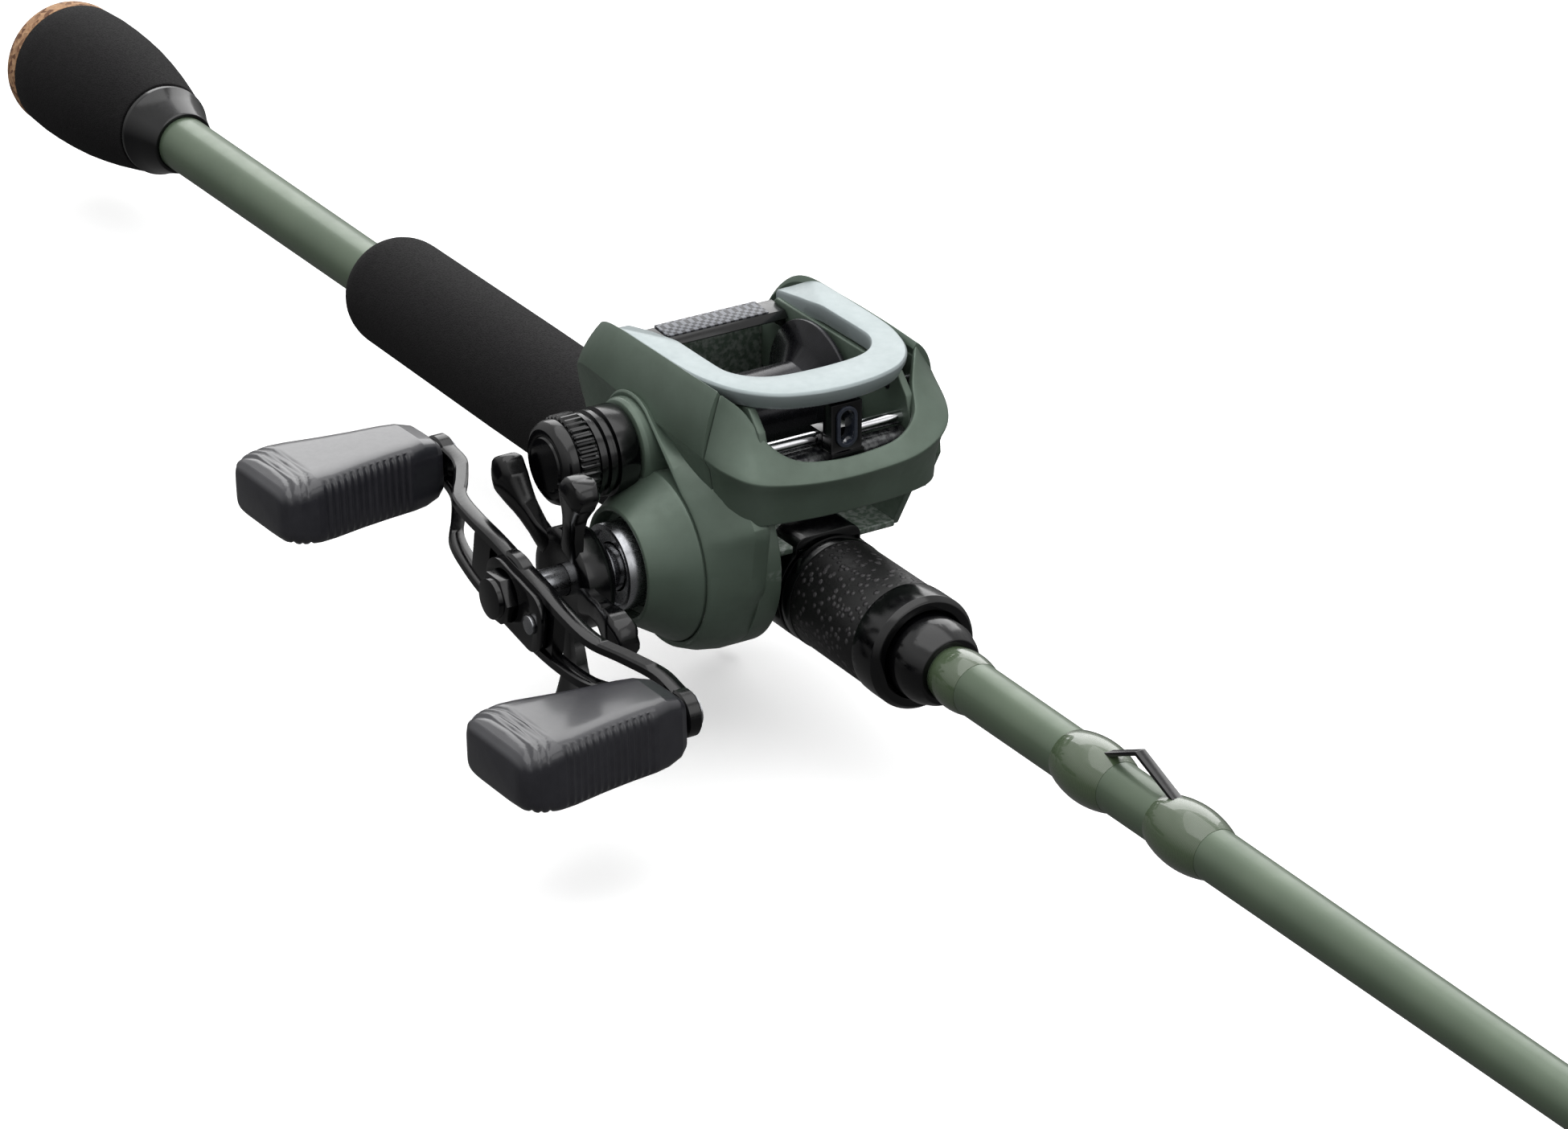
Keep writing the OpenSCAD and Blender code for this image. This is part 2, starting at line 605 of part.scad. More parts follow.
module thumb_bar() {
    color(gloss_black) at_reel() union() {
        plate_y(-15.2, 15.2) polygon([[-30.6, 36.2], [-30.9, 38.6], [-29, 40.6], [-24, 40.2],
            [-22.8, 38.9], [-23.8, 38.2], [-27, 37.6], [-29, 35.6]]);
        plate_y(-wall_out, -15) rounded([-30.4, 36.2], [-24.4, 39], 1);
        plate_y(15, wall_out) rounded([-30.4, 36.2], [-24.4, 39], 1);
    }
}
module drive_gear() {
    color(brass) at_reel() difference() {
        gear_y_at(drive_c, gear_y - gear_w / 2, gear_y + gear_w / 2, drive_teeth, gear_m, drive_phase, 3.05);
        rod_y(drive_c, gear_y - 5, gear_y + 0.2, 14.6);
        for (a = [0:60:300]) on_axis(drive_c) rotate([0, a, 0]) rod_y([10, 0], -30, -15, 2.2);
    }
}
module levelwind_gear() {
    color([0.85, 0.84, 0.8]) at_reel()
        gear_y_at(drive_c, train_y - train_w, train_y + train_w, small_teeth, train_m, small_phase, 3.05);
}
module bearing_cover() {
    color(steel) at_reel() difference() {
        rod_y(drive_c, -38.8, -31.15, 8.6);
        rod_y(drive_c, -50, -30, 4.9);
        rod_y(drive_c, -50, -37.6, 7.4);
    }
}
module drag_washers() {
    color([0.3, 0.28, 0.26]) at_reel() {
        tube_y(drive_c, -22.7, -22.05, 14.4, 3.05);
        tube_y(drive_c, -23.5, -22.75, 14.2, 3.05);
    }
}
module drive_shaft() {
    color(steel) at_reel() difference() {
        union() {
            rod_y(drive_c, -17.8, -14.7, 2);
            rod_y(drive_c, -25, -17.8, 3);
            rod_y(drive_c, -61.5, -25, 3);
        }
        rod_y(drive_c, -62, -58, 0.8);
    }
}
module clutch_sleeve() {
    color(steel) at_reel() tube_y(drive_c, -39.6, -23.6, 4.6, 3.05);
}
module one_way_bearing() {
    color([0.82, 0.83, 0.85]) at_reel() tube_y(drive_c, -30.9, -25.2, 7.5, 4.65);
}
module drag_springs() {
    color(steel) at_reel() for (y = [-41.6, -40.7]) tube_y(drive_c, y, y + 0.7, 5.2, 3.1);
}
module star_drag() {
    arms = 5;
    color(gloss_black) at_reel() difference() {
        union() {
            lathe_y(drive_c, [[3.1, -48.6], [10.2, -48.6], [10.2, -44], [8.8, -41.9], [3.1, -41.9]]);
            for (i = [0:arms - 1]) on_axis(drive_c) rotate([0, 77 - i * 72, 0]) {
                plate_y(-50.2, star_y) polygon([[6, -4], [14, -2.4], [20, -2.3], [star_r - 4, -4.2],
                    [star_r - 0.6, -3.6], [star_r, 0], [star_r - 0.6, 3.6], [star_r - 4, 4.2],
                    [20, 2.3], [14, 2.4], [6, 4]]);
            }
        }
        rod_y(drive_c, -60, -30, 3.1);
    }
}
module tension_cap() {
    color(gloss_black) at_reel() difference() {
        union() {
            lathe_y(spool_c, [[0, -46.3], [6.8, -46.3], [8.3, -45.2], [8.3, -43], [8.3, -38], [7.9, -37.4],
                [7.9, -36.2], [8.9, -35.6], [8.9, -30], [0, -30]]);
            on_axis(spool_c) plate_y(-42.8, -38.6) circle(8.8, $fn = 12);
        }
        rod_y(spool_c, -36, -20, 7.25);
        rod_y(spool_c, -40, -20, 2);
    }
}
// One half of the handle arm, seen along the shaft, from the hub out to the spindle
module arm_half() {
    difference() {
        union() {
            polygon([[0, -8], [0, 8], [9, 7.6], [22, 6.2], [36, 4.6], [knob_x, 4.4], [knob_x, -4.4],
                [36, -4.6], [22, -6.2], [9, -7.6]]);
            translate([knob_x, 0]) circle(4.4);
        }
        polygon([[15, -3.4], [15, 3.4], [24, 2.8], [36, 1.8], [36, -1.8], [24, -2.8]]);
        translate([knob_x, 0]) circle(2.05);
    }
}
module arm_frame() {
    on_axis(drive_c) rotate([0, -handle_a, 0]) children();
}
// The arm steps in towards the reel on its way from the hub to the spindle
module arm_band() {
    bend = 28;
    step = 9;
    polygon([[-1, hub_y], [bend, hub_y], [bend + step, arm_end_y], [70, arm_end_y], [70, arm_end_y - arm_t],
        [bend + step + 0.8, arm_end_y - arm_t], [bend + 0.8, hub_y - arm_t], [-1, hub_y - arm_t]]);
}
module handle_arm() {
    color(gloss_black) at_reel() difference() {
        arm_frame() for (side = [0, 180]) rotate([0, side, 0]) intersection() {
            plate_y(-70, -45) arm_half();
            translate([0, 0, -20]) linear_extrude(40) arm_band();
        }
        rod_y(drive_c, -70, -50, 3.05);
        arm_frame() rod_y([10.4, 0], -70, hub_y - 0.4, 1.05);
    }
}
module handle_nut() {
    color(gloss_black) at_reel() union() {
        translate([drive_c[0], hub_y - arm_t, drive_c[1]]) rotate([90, 0, 0]) difference() {
            cylinder(h = 3.6, r = 5.2, $fn = 6);
            translate([0, 0, -1]) cylinder(h = 3, r = 3.05);
        }
        rod_y(drive_c, hub_y - arm_t - 4.6, hub_y - arm_t - 3.5, 4);
    }
}
module nut_retainer() {
    color(gloss_black) at_reel() arm_frame() difference() {
        plate_y(hub_y - arm_t - 1.3, hub_y - arm_t - 0.02) rounded([-7.2, -6.2], [14, 6.2], 4.5);
        rod_y([0, 0], -70, -50, 5.3);
        rod_y([10.4, 0], -70, -50, 1.1);
    }
}
module retainer_screw() {
    color(steel) at_reel() arm_frame() {
        rod_y([10.4, 0], hub_y - arm_t - 1.3, hub_y - 0.8, 1);
        rod_y([10.4, 0], hub_y - arm_t - 2.1, hub_y - arm_t - 1.3, 1.9);
    }
}
module knob_spindles() {
    color(steel) at_reel() arm_frame() for (side = [-1, 1]) {
        rod_y([side * knob_x, 0], arm_end_y - knob_len + 3.8, arm_end_y, 2);
        rod_y([side * knob_x, 0], arm_end_y, arm_end_y + 0.8, 3.2);
    }
}
module knob_bushings() {
    y0 = arm_end_y - arm_t - 0.6;
    color([0.75, 0.72, 0.62]) at_reel() arm_frame() for (side = [-1, 1]) {
        tube_y([side * knob_x, 0], y0 - 4, y0 - 0.5, 3.6, 2.03);
        tube_y([side * knob_x, 0], y0 - 27, y0 - 24, 3.6, 2.03);
    }
}
module knob(side) {
    y0 = arm_end_y - arm_t - 0.6;
    c = [side * knob_x, 0];
    color([0.26, 0.27, 0.29]) at_reel() arm_frame() on_axis(c) rotate([0, handle_a - 2, 0])
        difference() {
            translate([0, 0, -6.2]) linear_extrude(12.4) polygon([[-6, y0], [6, y0], [8.6, y0 - 8],
                [10.4, y0 - 20], [12.4, y0 - 30], [11.4, y0 - 36], [7.6, y0 - knob_len],
                [-7.6, y0 - knob_len], [-11.4, y0 - 36], [-12.4, y0 - 30], [-10.4, y0 - 20], [-8.6, y0 - 8]]);
            rod_y([0, 0], y0 - 31, y0 + 1, 3.65);
        }
}
module knob_a() { knob(-1); }
module knob_b() { knob(1); }

blank();
butt_cork();
butt_grip();
butt_check();
rear_grip();
reel_seat();
seat_hood();
seat_nut();
nut_sleeve();
nut_collar();
hook_keeper();
thread_wraps();
guide_1();
guide_2();
guide_3();
guide_4();
running_guides();
guide_rings();
tip_top();
reel_foot();
reel_frame();
top_hood();
handle_side_plate();
palm_side_plate();
plate_screws();
brake_dial();
brake_magnets();
guide_bars();
line_guide();
line_guide_eye();
pawl();
worm_shaft();
worm_gear();
idler_gear();
spool();
spool_shaft();
ball_bearings();
pinion_gear();
pinion_yoke();
yoke_springs();
clutch_cam();
thumb_bar();
drive_gear();
levelwind_gear();
drag_washers();
drive_shaft();
one_way_bearing();
bearing_cover();
clutch_sleeve();
drag_springs();
star_drag();
tension_cap();
handle_arm();
handle_nut();
nut_retainer();
retainer_screw();
knob_spindles();
knob_bushings();
knob_a();
knob_b();
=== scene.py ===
import json
import math

import bmesh
import bpy
from mathutils import Matrix, Vector


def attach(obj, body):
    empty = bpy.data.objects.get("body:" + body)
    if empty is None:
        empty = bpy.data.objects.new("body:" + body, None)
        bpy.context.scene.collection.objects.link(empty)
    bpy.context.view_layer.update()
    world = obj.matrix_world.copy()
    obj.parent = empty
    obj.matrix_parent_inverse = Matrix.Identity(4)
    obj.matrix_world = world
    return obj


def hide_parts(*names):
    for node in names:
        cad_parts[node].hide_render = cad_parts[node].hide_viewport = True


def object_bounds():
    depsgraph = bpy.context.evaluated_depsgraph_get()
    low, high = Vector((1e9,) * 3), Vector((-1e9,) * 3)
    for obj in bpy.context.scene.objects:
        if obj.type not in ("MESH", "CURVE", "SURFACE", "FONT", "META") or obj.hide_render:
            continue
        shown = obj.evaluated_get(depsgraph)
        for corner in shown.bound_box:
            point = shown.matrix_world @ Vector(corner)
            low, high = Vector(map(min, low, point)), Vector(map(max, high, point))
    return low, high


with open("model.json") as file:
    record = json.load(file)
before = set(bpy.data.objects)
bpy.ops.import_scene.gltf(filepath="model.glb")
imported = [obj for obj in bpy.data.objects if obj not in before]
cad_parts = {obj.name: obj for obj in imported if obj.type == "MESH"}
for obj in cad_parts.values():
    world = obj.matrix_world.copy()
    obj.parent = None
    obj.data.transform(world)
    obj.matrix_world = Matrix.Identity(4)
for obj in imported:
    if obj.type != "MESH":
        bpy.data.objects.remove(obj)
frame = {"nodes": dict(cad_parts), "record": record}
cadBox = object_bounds()
print("frame loaded,", len(frame["nodes"]), "nodes")

# everything below is drawn in millimetres and made metres by place()
reelX = 333            # middle of the reel along the rod
crank = (-1.2, 7.1)    # crank axle, X and Z from the reel's middle
spoolAt = (-11.458, 26.392)
wormAt = (17.6, 28)
barAt = (16.6, 32.6)


# finishes
def tone(r, g, b):     # eye colours, 0 to 255, as the shader wants them
    return tuple((v / 255) ** 2.2 for v in (r, g, b)) + (1,)


class Wiring:          # short way to lay out a material's nodes
    def __init__(self, name):
        self.mat = bpy.data.materials.new(name)
        self.mat.use_nodes = True
        self.tree = self.mat.node_tree
        self.shader = self.tree.nodes["Principled BSDF"]
        self.place = self.add("TexCoord").outputs["Object"]

    def add(self, kind, **inputs):
        node = self.tree.nodes.new("ShaderNode" + kind)
        for key, value in inputs.items():
            node.inputs[key].default_value = value
        return node

    def link(self, a, b):
        self.tree.links.new(a, b)

    def mapped(self, scale, turn=(0, 0, 0)):
        node = self.add("Mapping", Scale=scale, Rotation=turn)
        self.link(self.place, node.inputs["Vector"])
        return node.outputs["Vector"]

    def noise(self, scale, detail=4, rough=0.55, stretch=None):
        node = self.add("TexNoise", Scale=scale, Detail=detail, Roughness=rough)
        self.link(self.mapped(stretch) if stretch else self.place, node.inputs["Vector"])
        return node.outputs["Fac"]

    def cells(self, scale, feature="F1"):
        node = self.add("TexVoronoi", Scale=scale)
        node.feature = feature
        self.link(self.place, node.inputs["Vector"])
        return node.outputs["Distance"]

    def spread(self, value, low, high, fromLow=0.3, fromHigh=0.7):
        node = self.tree.nodes.new("ShaderNodeMapRange")
        node.inputs["From Min"].default_value = fromLow
        node.inputs["From Max"].default_value = fromHigh
        node.inputs["To Min"].default_value = low
        node.inputs["To Max"].default_value = high
        self.link(value, node.inputs["Value"])
        return node.outputs["Result"]

    def blend(self, factor, first, second):
        node = self.tree.nodes.new("ShaderNodeMix")
        node.data_type = "RGBA"
        self.link(factor, node.inputs[0])
        for socket, value in ((node.inputs[6], first), (node.inputs[7], second)):
            if isinstance(value, tuple):
                socket.default_value = value
            else:
                self.link(value, socket)
        return node.outputs[2]

    def raised(self, height, strength, distance, under=None):
        node = self.add("Bump", Strength=strength, Distance=distance)
        self.link(height, node.inputs["Height"])
        if under:
            self.link(under, node.inputs["Normal"])
        return node.outputs["Normal"]

    def worn(self, colour, amount):        # paler, rubbed edges
        edge = self.spread(self.add("NewGeometry").outputs["Pointiness"], 0, 1, 0.53, 0.62)
        broken = self.spread(self.noise(900), 0, 1, 0.42, 0.6)
        both = self.tree.nodes.new("ShaderNodeMath")
        both.operation = "MULTIPLY"
        self.link(edge, both.inputs[0])
        self.link(broken, both.inputs[1])
        return self.blend(self.spread(both.outputs[0], 0, amount, 0, 1), colour, tone(206, 210, 208))


looks = {
    # colour, second colour, patch size, roughness from and to, grain, bump depth in mm,
    # metal, clear coat, wear
    "blank_paint": (tone(94, 108, 90), tone(86, 100, 83), 60, 0.34, 0.42, 5200, 0.003, 0.3, 0.2, 0.0),
    "body_paint": (tone(93, 107, 96), tone(86, 99, 88), 130, 0.36, 0.46, 7000, 0.004, 0.35, 0.1, 0.3),
    "hood_paint": (tone(150, 160, 161), tone(143, 153, 154), 150, 0.36, 0.44, 8000, 0.003, 0.4, 0.05, 0.15),
    "gloss_black": (tone(8, 8, 10), tone(12, 12, 14), 200, 0.14, 0.22, 3000, 0.0004, 0.0, 0.05, 0.0),
    "black_alloy": (tone(8, 8, 10), tone(13, 13, 15), 260, 0.15, 0.24, 3600, 0.0004, 0.0, 0.08, 0.0),
    "knob_rubber": (tone(38, 38, 43), tone(45, 45, 50), 240, 0.32, 0.38, 6000, 0.002, 0.0, 0.5, 0.0),
    "guide_metal": (tone(30, 30, 33), tone(40, 40, 44), 500, 0.24, 0.36, 5000, 0.002, 0.7, 0.0, 0.1),
    "guide_ceramic": (tone(40, 44, 54), tone(52, 56, 66), 700, 0.08, 0.16, 4000, 0.001, 0.1, 0.5, 0.0),
    "spool_alloy": (tone(26, 26, 29), tone(36, 36, 40), 300, 0.22, 0.34, 4200, 0.002, 0.6, 0.2, 0.1),
    "steel": (tone(176, 177, 180), tone(150, 152, 156), 400, 0.2, 0.36, 4200, 0.002, 1.0, 0.0, 0.0),
    "chrome": (tone(214, 214, 216), tone(200, 200, 203), 400, 0.1, 0.18, 3000, 0.0006, 1.0, 0.0, 0.0),
    "brass": (tone(190, 152, 82), tone(166, 128, 64), 400, 0.24, 0.38, 4000, 0.003, 1.0, 0.0, 0.0),
    "acetal": (tone(214, 211, 200), tone(200, 197, 186), 300, 0.4, 0.52, 3600, 0.004, 0.0, 0.0, 0.0),
    "carbon_washer": (tone(40, 39, 38), tone(66, 64, 61), 1400, 0.4, 0.6, 5200, 0.01, 0.0, 0.0, 0.0),
}


def paint(name, look):
    colour, second, patch, smooth, dull, grain, depth, metal, coat, wear = look
    w = Wiring(name)
    mixed = w.blend(w.spread(w.noise(patch), 0, 1), colour, second)
    if wear:
        mixed = w.worn(mixed, wear)
    w.link(mixed, w.shader.inputs["Base Color"])
    w.link(w.spread(w.noise(patch * 4, 6), smooth, dull), w.shader.inputs["Roughness"])
    w.link(w.raised(w.noise(grain, 3), 0.6, depth * 0.001), w.shader.inputs["Normal"])
    w.shader.inputs["Metallic"].default_value = metal
    w.shader.inputs["Coat Weight"].default_value = coat
    w.shader.inputs["Coat Roughness"].default_value = 0.12
    return w.mat


def foamFinish():      # closed-cell grip foam: fine pores on a slow mottle
    w = Wiring("foam")
    pores = w.spread(w.cells(2600), 0, 1, 0.1, 0.6)
    mottle = w.spread(w.noise(700, 6, 0.7), 0, 1)
    w.link(w.blend(mottle, tone(19, 18, 19), tone(29, 28, 29)), w.shader.inputs["Base Color"])
    w.link(w.spread(pores, 0.98, 0.8, 0, 1), w.shader.inputs["Roughness"])
    soft = w.raised(w.noise(340, 5), 0.5, 0.00012)
    w.link(w.raised(pores, 0.8, 0.00008, soft), w.shader.inputs["Normal"])
    w.shader.inputs["Specular IOR Level"].default_value = 0.22
    return w.mat


def corkFinish():      # pressed cork: light and dark granules with pits
    w = Wiring("cork")
    granule = w.add("TexVoronoi", Scale=900)
    w.link(w.place, granule.inputs["Vector"])
    speck = w.add("SeparateColor")
    w.link(granule.outputs["Color"], speck.inputs["Color"])
    dark = w.spread(speck.outputs["Red"], 0, 1, 0.55, 0.8)
    base = w.blend(w.spread(w.noise(900, 5), 0, 1), tone(182, 146, 112), tone(152, 112, 82))
    w.link(w.blend(dark, base, tone(104, 72, 52)), w.shader.inputs["Base Color"])
    w.link(w.spread(w.noise(1500), 0.72, 0.92), w.shader.inputs["Roughness"])
    w.link(w.raised(granule.outputs["Distance"], 0.7, 0.00025), w.shader.inputs["Normal"])
    return w.mat


def nutFinish():       # moulded dot pattern on the seat nut's sleeve
    w = Wiring("nut_texture")
    dots = w.spread(w.cells(620), 1, 0, 0.2, 0.4)
    w.link(w.blend(dots, tone(9, 8, 9), tone(58, 56, 58)), w.shader.inputs["Base Color"])
    w.link(w.spread(w.noise(1600), 0.4, 0.56), w.shader.inputs["Roughness"])
    w.link(w.raised(dots, 0.9, 0.00022), w.shader.inputs["Normal"])
    return w.mat


def threadFinish():    # thread turns seen through a glossy epoxy coat
    w = Wiring("thread_epoxy")
    turns = w.add("TexWave", Scale=1150, Distortion=0.3)
    turns.bands_direction = "X"
    w.link(w.place, turns.inputs["Vector"])
    mixed = w.blend(turns.outputs["Fac"], tone(66, 80, 58), tone(84, 98, 76))
    w.link(w.blend(w.spread(w.noise(300), 0, 1), mixed, tone(76, 90, 68)), w.shader.inputs["Base Color"])
    w.link(w.spread(w.noise(500), 0.14, 0.26), w.shader.inputs["Roughness"])
    low = w.raised(w.noise(120, 1), 0.3, 0.0002)
    w.link(w.raised(turns.outputs["Fac"], 0.25, 0.00004, low), w.shader.inputs["Normal"])
    w.shader.inputs["Coat Weight"].default_value = 0.9
    w.shader.inputs["Coat Roughness"].default_value = 0.04
    return w.mat


def padFinish():       # fine squares cut into the thumb pad
    w = Wiring("pad_squares")
    check = w.add("TexChecker", Scale=1100)
    w.link(w.place, check.inputs["Vector"])
    w.link(w.blend(check.outputs["Fac"], tone(52, 53, 57), tone(112, 114, 120)),
           w.shader.inputs["Base Color"])
    w.link(w.spread(w.noise(1400), 0.4, 0.55), w.shader.inputs["Roughness"])
    w.link(w.raised(check.outputs["Fac"], 0.5, 0.0001), w.shader.inputs["Normal"])
    return w.mat


finishes = {name: paint(name, look) for name, look in looks.items()}
finishes["pad_squares"] = padFinish()
finishes["foam"] = foamFinish()
finishes["cork"] = corkFinish()
finishes["nut_texture"] = nutFinish()
finishes["thread_epoxy"] = threadFinish()
print("finishes ready,", len(finishes))


# workshop helpers
def place(bm, atReel):
    bm.transform(Matrix.Scale(0.001, 4) @ Matrix.Translation((reelX if atReel else 0, 0, 0)))


def roundOff(bm, width, segments, angle):
    edges = [e for e in bm.edges if e.is_manifold and e.calc_face_angle(0) > math.radians(angle)]
    if edges:
        bmesh.ops.bevel(bm, geom=edges, offset=width, offset_type="OFFSET", segments=segments,
                        profile=0.5, affect="EDGES", clamp_overlap=True, material=-1)


def shade(bm, angle):
    for f in bm.faces:
        f.smooth = True
    for e in bm.edges:
        e.smooth = e.is_manifold and e.calc_face_angle(0) < math.radians(angle)


def intoScene(name, bm, body, finish, nodes):
    mesh = bpy.data.meshes.new(name)
    bm.to_mesh(mesh)
    bm.free()
    mesh.materials.append(finishes[finish])
    obj = bpy.data.objects.new(name, mesh)
    bpy.context.scene.collection.objects.link(obj)
    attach(obj, body)
    if nodes:
        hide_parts(*nodes)
    return obj


def piece(name, bm, body, finish, nodes=(), edge=0.0, steps=2, atReel=True, angle=28, crisp=38,
          slot=None):
    bmesh.ops.remove_doubles(bm, verts=bm.verts, dist=0.001)
    bmesh.ops.recalc_face_normals(bm, faces=bm.faces)
    if edge:
        roundOff(bm, edge, steps, angle)
    place(bm, atReel)
    shade(bm, crisp)
    return intoScene(name, bm, body, finish, nodes)


def turned(bm, profile, axis="X", at=(0, 0), steps=96):    # profile is (along the axis, radius)
    if axis == "X":
        verts = [bm.verts.new((a, 0, r)) for a, r in profile]
        centre, line = (0, 0, 0), (1, 0, 0)
    else:
        verts = [bm.verts.new((at[0], a, at[1] + r)) for a, r in profile]
        centre, line = (at[0], 0, at[1]), (0, 1, 0)
    edges = [bm.edges.new(pair) for pair in zip(verts, verts[1:])]
    bmesh.ops.spin(bm, geom=verts + edges, cent=centre, axis=line, angle=math.tau, steps=steps,
                   use_merge=True)


def lathe(name, profile, body, finish, nodes=(), axis="X", at=(0, 0), steps=96, **more):
    bm = bmesh.new()
    turned(bm, profile, axis, at, steps)
    return piece(name, bm, body, finish, nodes, **more)


def eased(points, x):  # value at x on the straight lines between a few (x, value) points
    for (x0, v0), (x1, v1) in zip(points, points[1:]):
        if x <= x1:
            t = min(max((x - x0) / (x1 - x0), 0), 1)
            return v0 + (v1 - v0) * t
    return points[-1][1]


def softened(node, body, finish, width):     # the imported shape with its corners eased
    bm = bmesh.new()
    bm.from_mesh(frame["nodes"][node].data)
    bmesh.ops.remove_doubles(bm, verts=bm.verts, dist=0.000002)
    bmesh.ops.dissolve_limit(bm, angle_limit=math.radians(1), verts=bm.verts, edges=bm.edges)
    roundOff(bm, width * 0.001, 2, 30)
    shade(bm, 36)
    return intoScene(node + "_eased", bm, body, finish, (node,))


# rod
blankSizes = {"taper": [(3, 6.7), (392, 5.25), (560, 4.45), (900, 3.5), (1500, 2.15), (2134, 0.95)],
              "bore": 0.8, "stations": 90}
gripSizes = {"start": 169, "end": 284, "radius": 12.5, "rearRound": 7, "rearDrop": 4}


def makeBlank():
    taper = blankSizes["taper"]
    count = blankSizes["stations"]
    butt, tip = taper[0][0], taper[-1][0]
    stations = [butt + i * (tip - butt) / count for i in range(count + 1)]
    outside = [(x, eased(taper, x)) for x in stations]
    inside = [(x, eased(taper, x) * blankSizes["bore"]) for x in reversed(stations)]
    bm = bmesh.new()
    turned(bm, outside + inside + outside[:1], steps=72)
    piece("rodBlank", bm, "rod", "blank_paint", ("blank",), atReel=False, crisp=50)


def makeGrips():
    lathe("corkButt", [(0, 0), (0, 12.6), (0.3, 13.8), (1.1, 14.9), (2.2, 15.5), (3.6, 15.8),
                       (7, 15.8), (7, 6.75), (3, 6.75), (3, 0)],
          "rod", "cork", ("butt_cork",), atReel=False, edge=0.12)
    hull = [(7, 6.75), (7, 15.7), (7.5, 15.95), (14, 16.2), (20, 16.1), (26, 15.8), (32, 15.3), (38, 14.5),
            (44, 13.5), (50, 12.3), (55, 11.2), (56, 11.0), (56, 6.5), (7, 6.75)]
    lathe("buttFoam", hull, "rod", "foam", ("butt_grip",), atReel=False, edge=0.15)
    cone = [(56, 6.5), (56, 10.6), (56.4, 10.8), (58, 10.8), (59, 10.2), (62, 9.2), (65, 8.2), (67.4, 7.5),
            (68, 7.3), (68, 6.5), (56, 6.5)]
    lathe("buttCone", cone, "rod", "gloss_black", ("butt_check",), atReel=False, edge=0.12)
    g = gripSizes
    bend = [(g["start"] + g["rearRound"] * (1 - math.cos(a)), g["radius"] - g["rearDrop"] * (1 - math.sin(a)))
            for a in [i * math.pi / 16 for i in range(9)]]
    barrel = [(g["start"], 6.1)] + bend + [
        (g["start"] + 60, g["radius"]), (g["end"] - 6, g["radius"] - 0.3), (g["end"], g["radius"] - 0.8),
        (g["end"], 5.8), (g["start"], 6.1)]
    lathe("rearFoam", barrel, "rod", "foam", ("rear_grip",), atReel=False)


makeBlank()
makeGrips()
print("rod pieces made")


# lofting, for the moulded shapes
def loft(bm, loops):               # closed skin through rings that have equal numbers of points
    rings = []
    for loop in loops:
        verts = [bm.verts.new(p) for p in loop]
        rings.append((verts, [bm.edges.new(pair) for pair in zip(verts, verts[1:] + verts[:1])]))
    for near, far in zip(rings, rings[1:]):
        bmesh.ops.bridge_loops(bm, edges=near[1] + far[1])
    for verts in (rings[0][0], rings[-1][0]):
        bm.faces.new(verts)


def curve(points, count):          # smooth curve through a few 3-D points, cut into count steps
    pts = [Vector(p) for p in points]
    ends = [pts[0] * 2 - pts[1]] + pts + [pts[-1] * 2 - pts[-2]]
    found = []
    for i in range(count + 1):
        s = i * (len(pts) - 1) / count
        k = min(int(s), len(pts) - 2)
        t = s - k
        a, b, c, d = ends[k:k + 4]
        found.append(0.5 * (b * 2 + (c - a) * t + (a * 2 - b * 5 + c * 4 - d) * t * t
                            + (b * 3 - a - c * 3 + d) * t * t * t))
    return found


def slab(bm, outline, low, high, axis="Y"):        # flat outline pushed from low to high
    lift = {"Y": lambda u, v: (u, low, v), "Z": lambda u, v: (u, v, low)}[axis]
    face = bm.faces.new([bm.verts.new(lift(u, v)) for u, v in outline])
    grown = bmesh.ops.extrude_face_region(bm, geom=[face])["geom"]
    move = (0, high - low, 0) if axis == "Y" else (0, 0, high - low)
    bmesh.ops.translate(bm, verts=[v for v in grown if isinstance(v, bmesh.types.BMVert)], vec=move)


def arc(centre, radius, start, end, count):
    turns = [math.radians(start + (end - start) * i / count) for i in range(count + 1)]
    return [(centre[0] + radius * math.cos(a), centre[1] + radius * math.sin(a)) for a in turns]


def reach(outline, centre, turn):  # how far the outline is from centre in one direction
    ux, uz = math.cos(turn), math.sin(turn)
    far = 0
    for (ax, az), (bx, bz) in zip(outline, outline[1:] + outline[:1]):
        ex, ez = bx - ax, bz - az
        cross = ux * ez - uz * ex
        if abs(cross) > 1e-9:
            wx, wz = ax - centre[0], az - centre[1]
            along, part = (wx * ez - wz * ex) / cross, (wx * uz - wz * ux) / cross
            if along > 0 and -1e-9 <= part <= 1 + 1e-9:
                far = max(far, along)
    return far


# reel body
# Each station gives top edge, ridge, the step under it and the bottom edge of the shell
handleShell = [
    [(-37.2, -17, 33), (-38.2, -23.4, 29), (-37.8, -22.9, 26), (-35.5, -22.4, 19)],
    [(-34.6, -20.6, 40.6), (-35.2, -25.3, 34), (-35, -24.5, 30.4), (-34, -23.6, 15.6)],
    [(-28, -22.3, 44.5), (-28, -26.2, 35.2), (-28, -25.1, 32.2), (-28, -24.2, 13)],
    [(-14, -22.5, 45), (-14, -26.4, 34.3), (-14, -25.1, 31.6), (-14, -24.2, 12.5)],
    [(0, -22.5, 45), (0, -26.2, 33.1), (0, -24.9, 30.6), (0, -24, 13)],
    [(12.2, -22.2, 44.8), (12.2, -25.6, 31.8), (12.2, -24.3, 29.4), (12.2, -23.2, 16)],
]
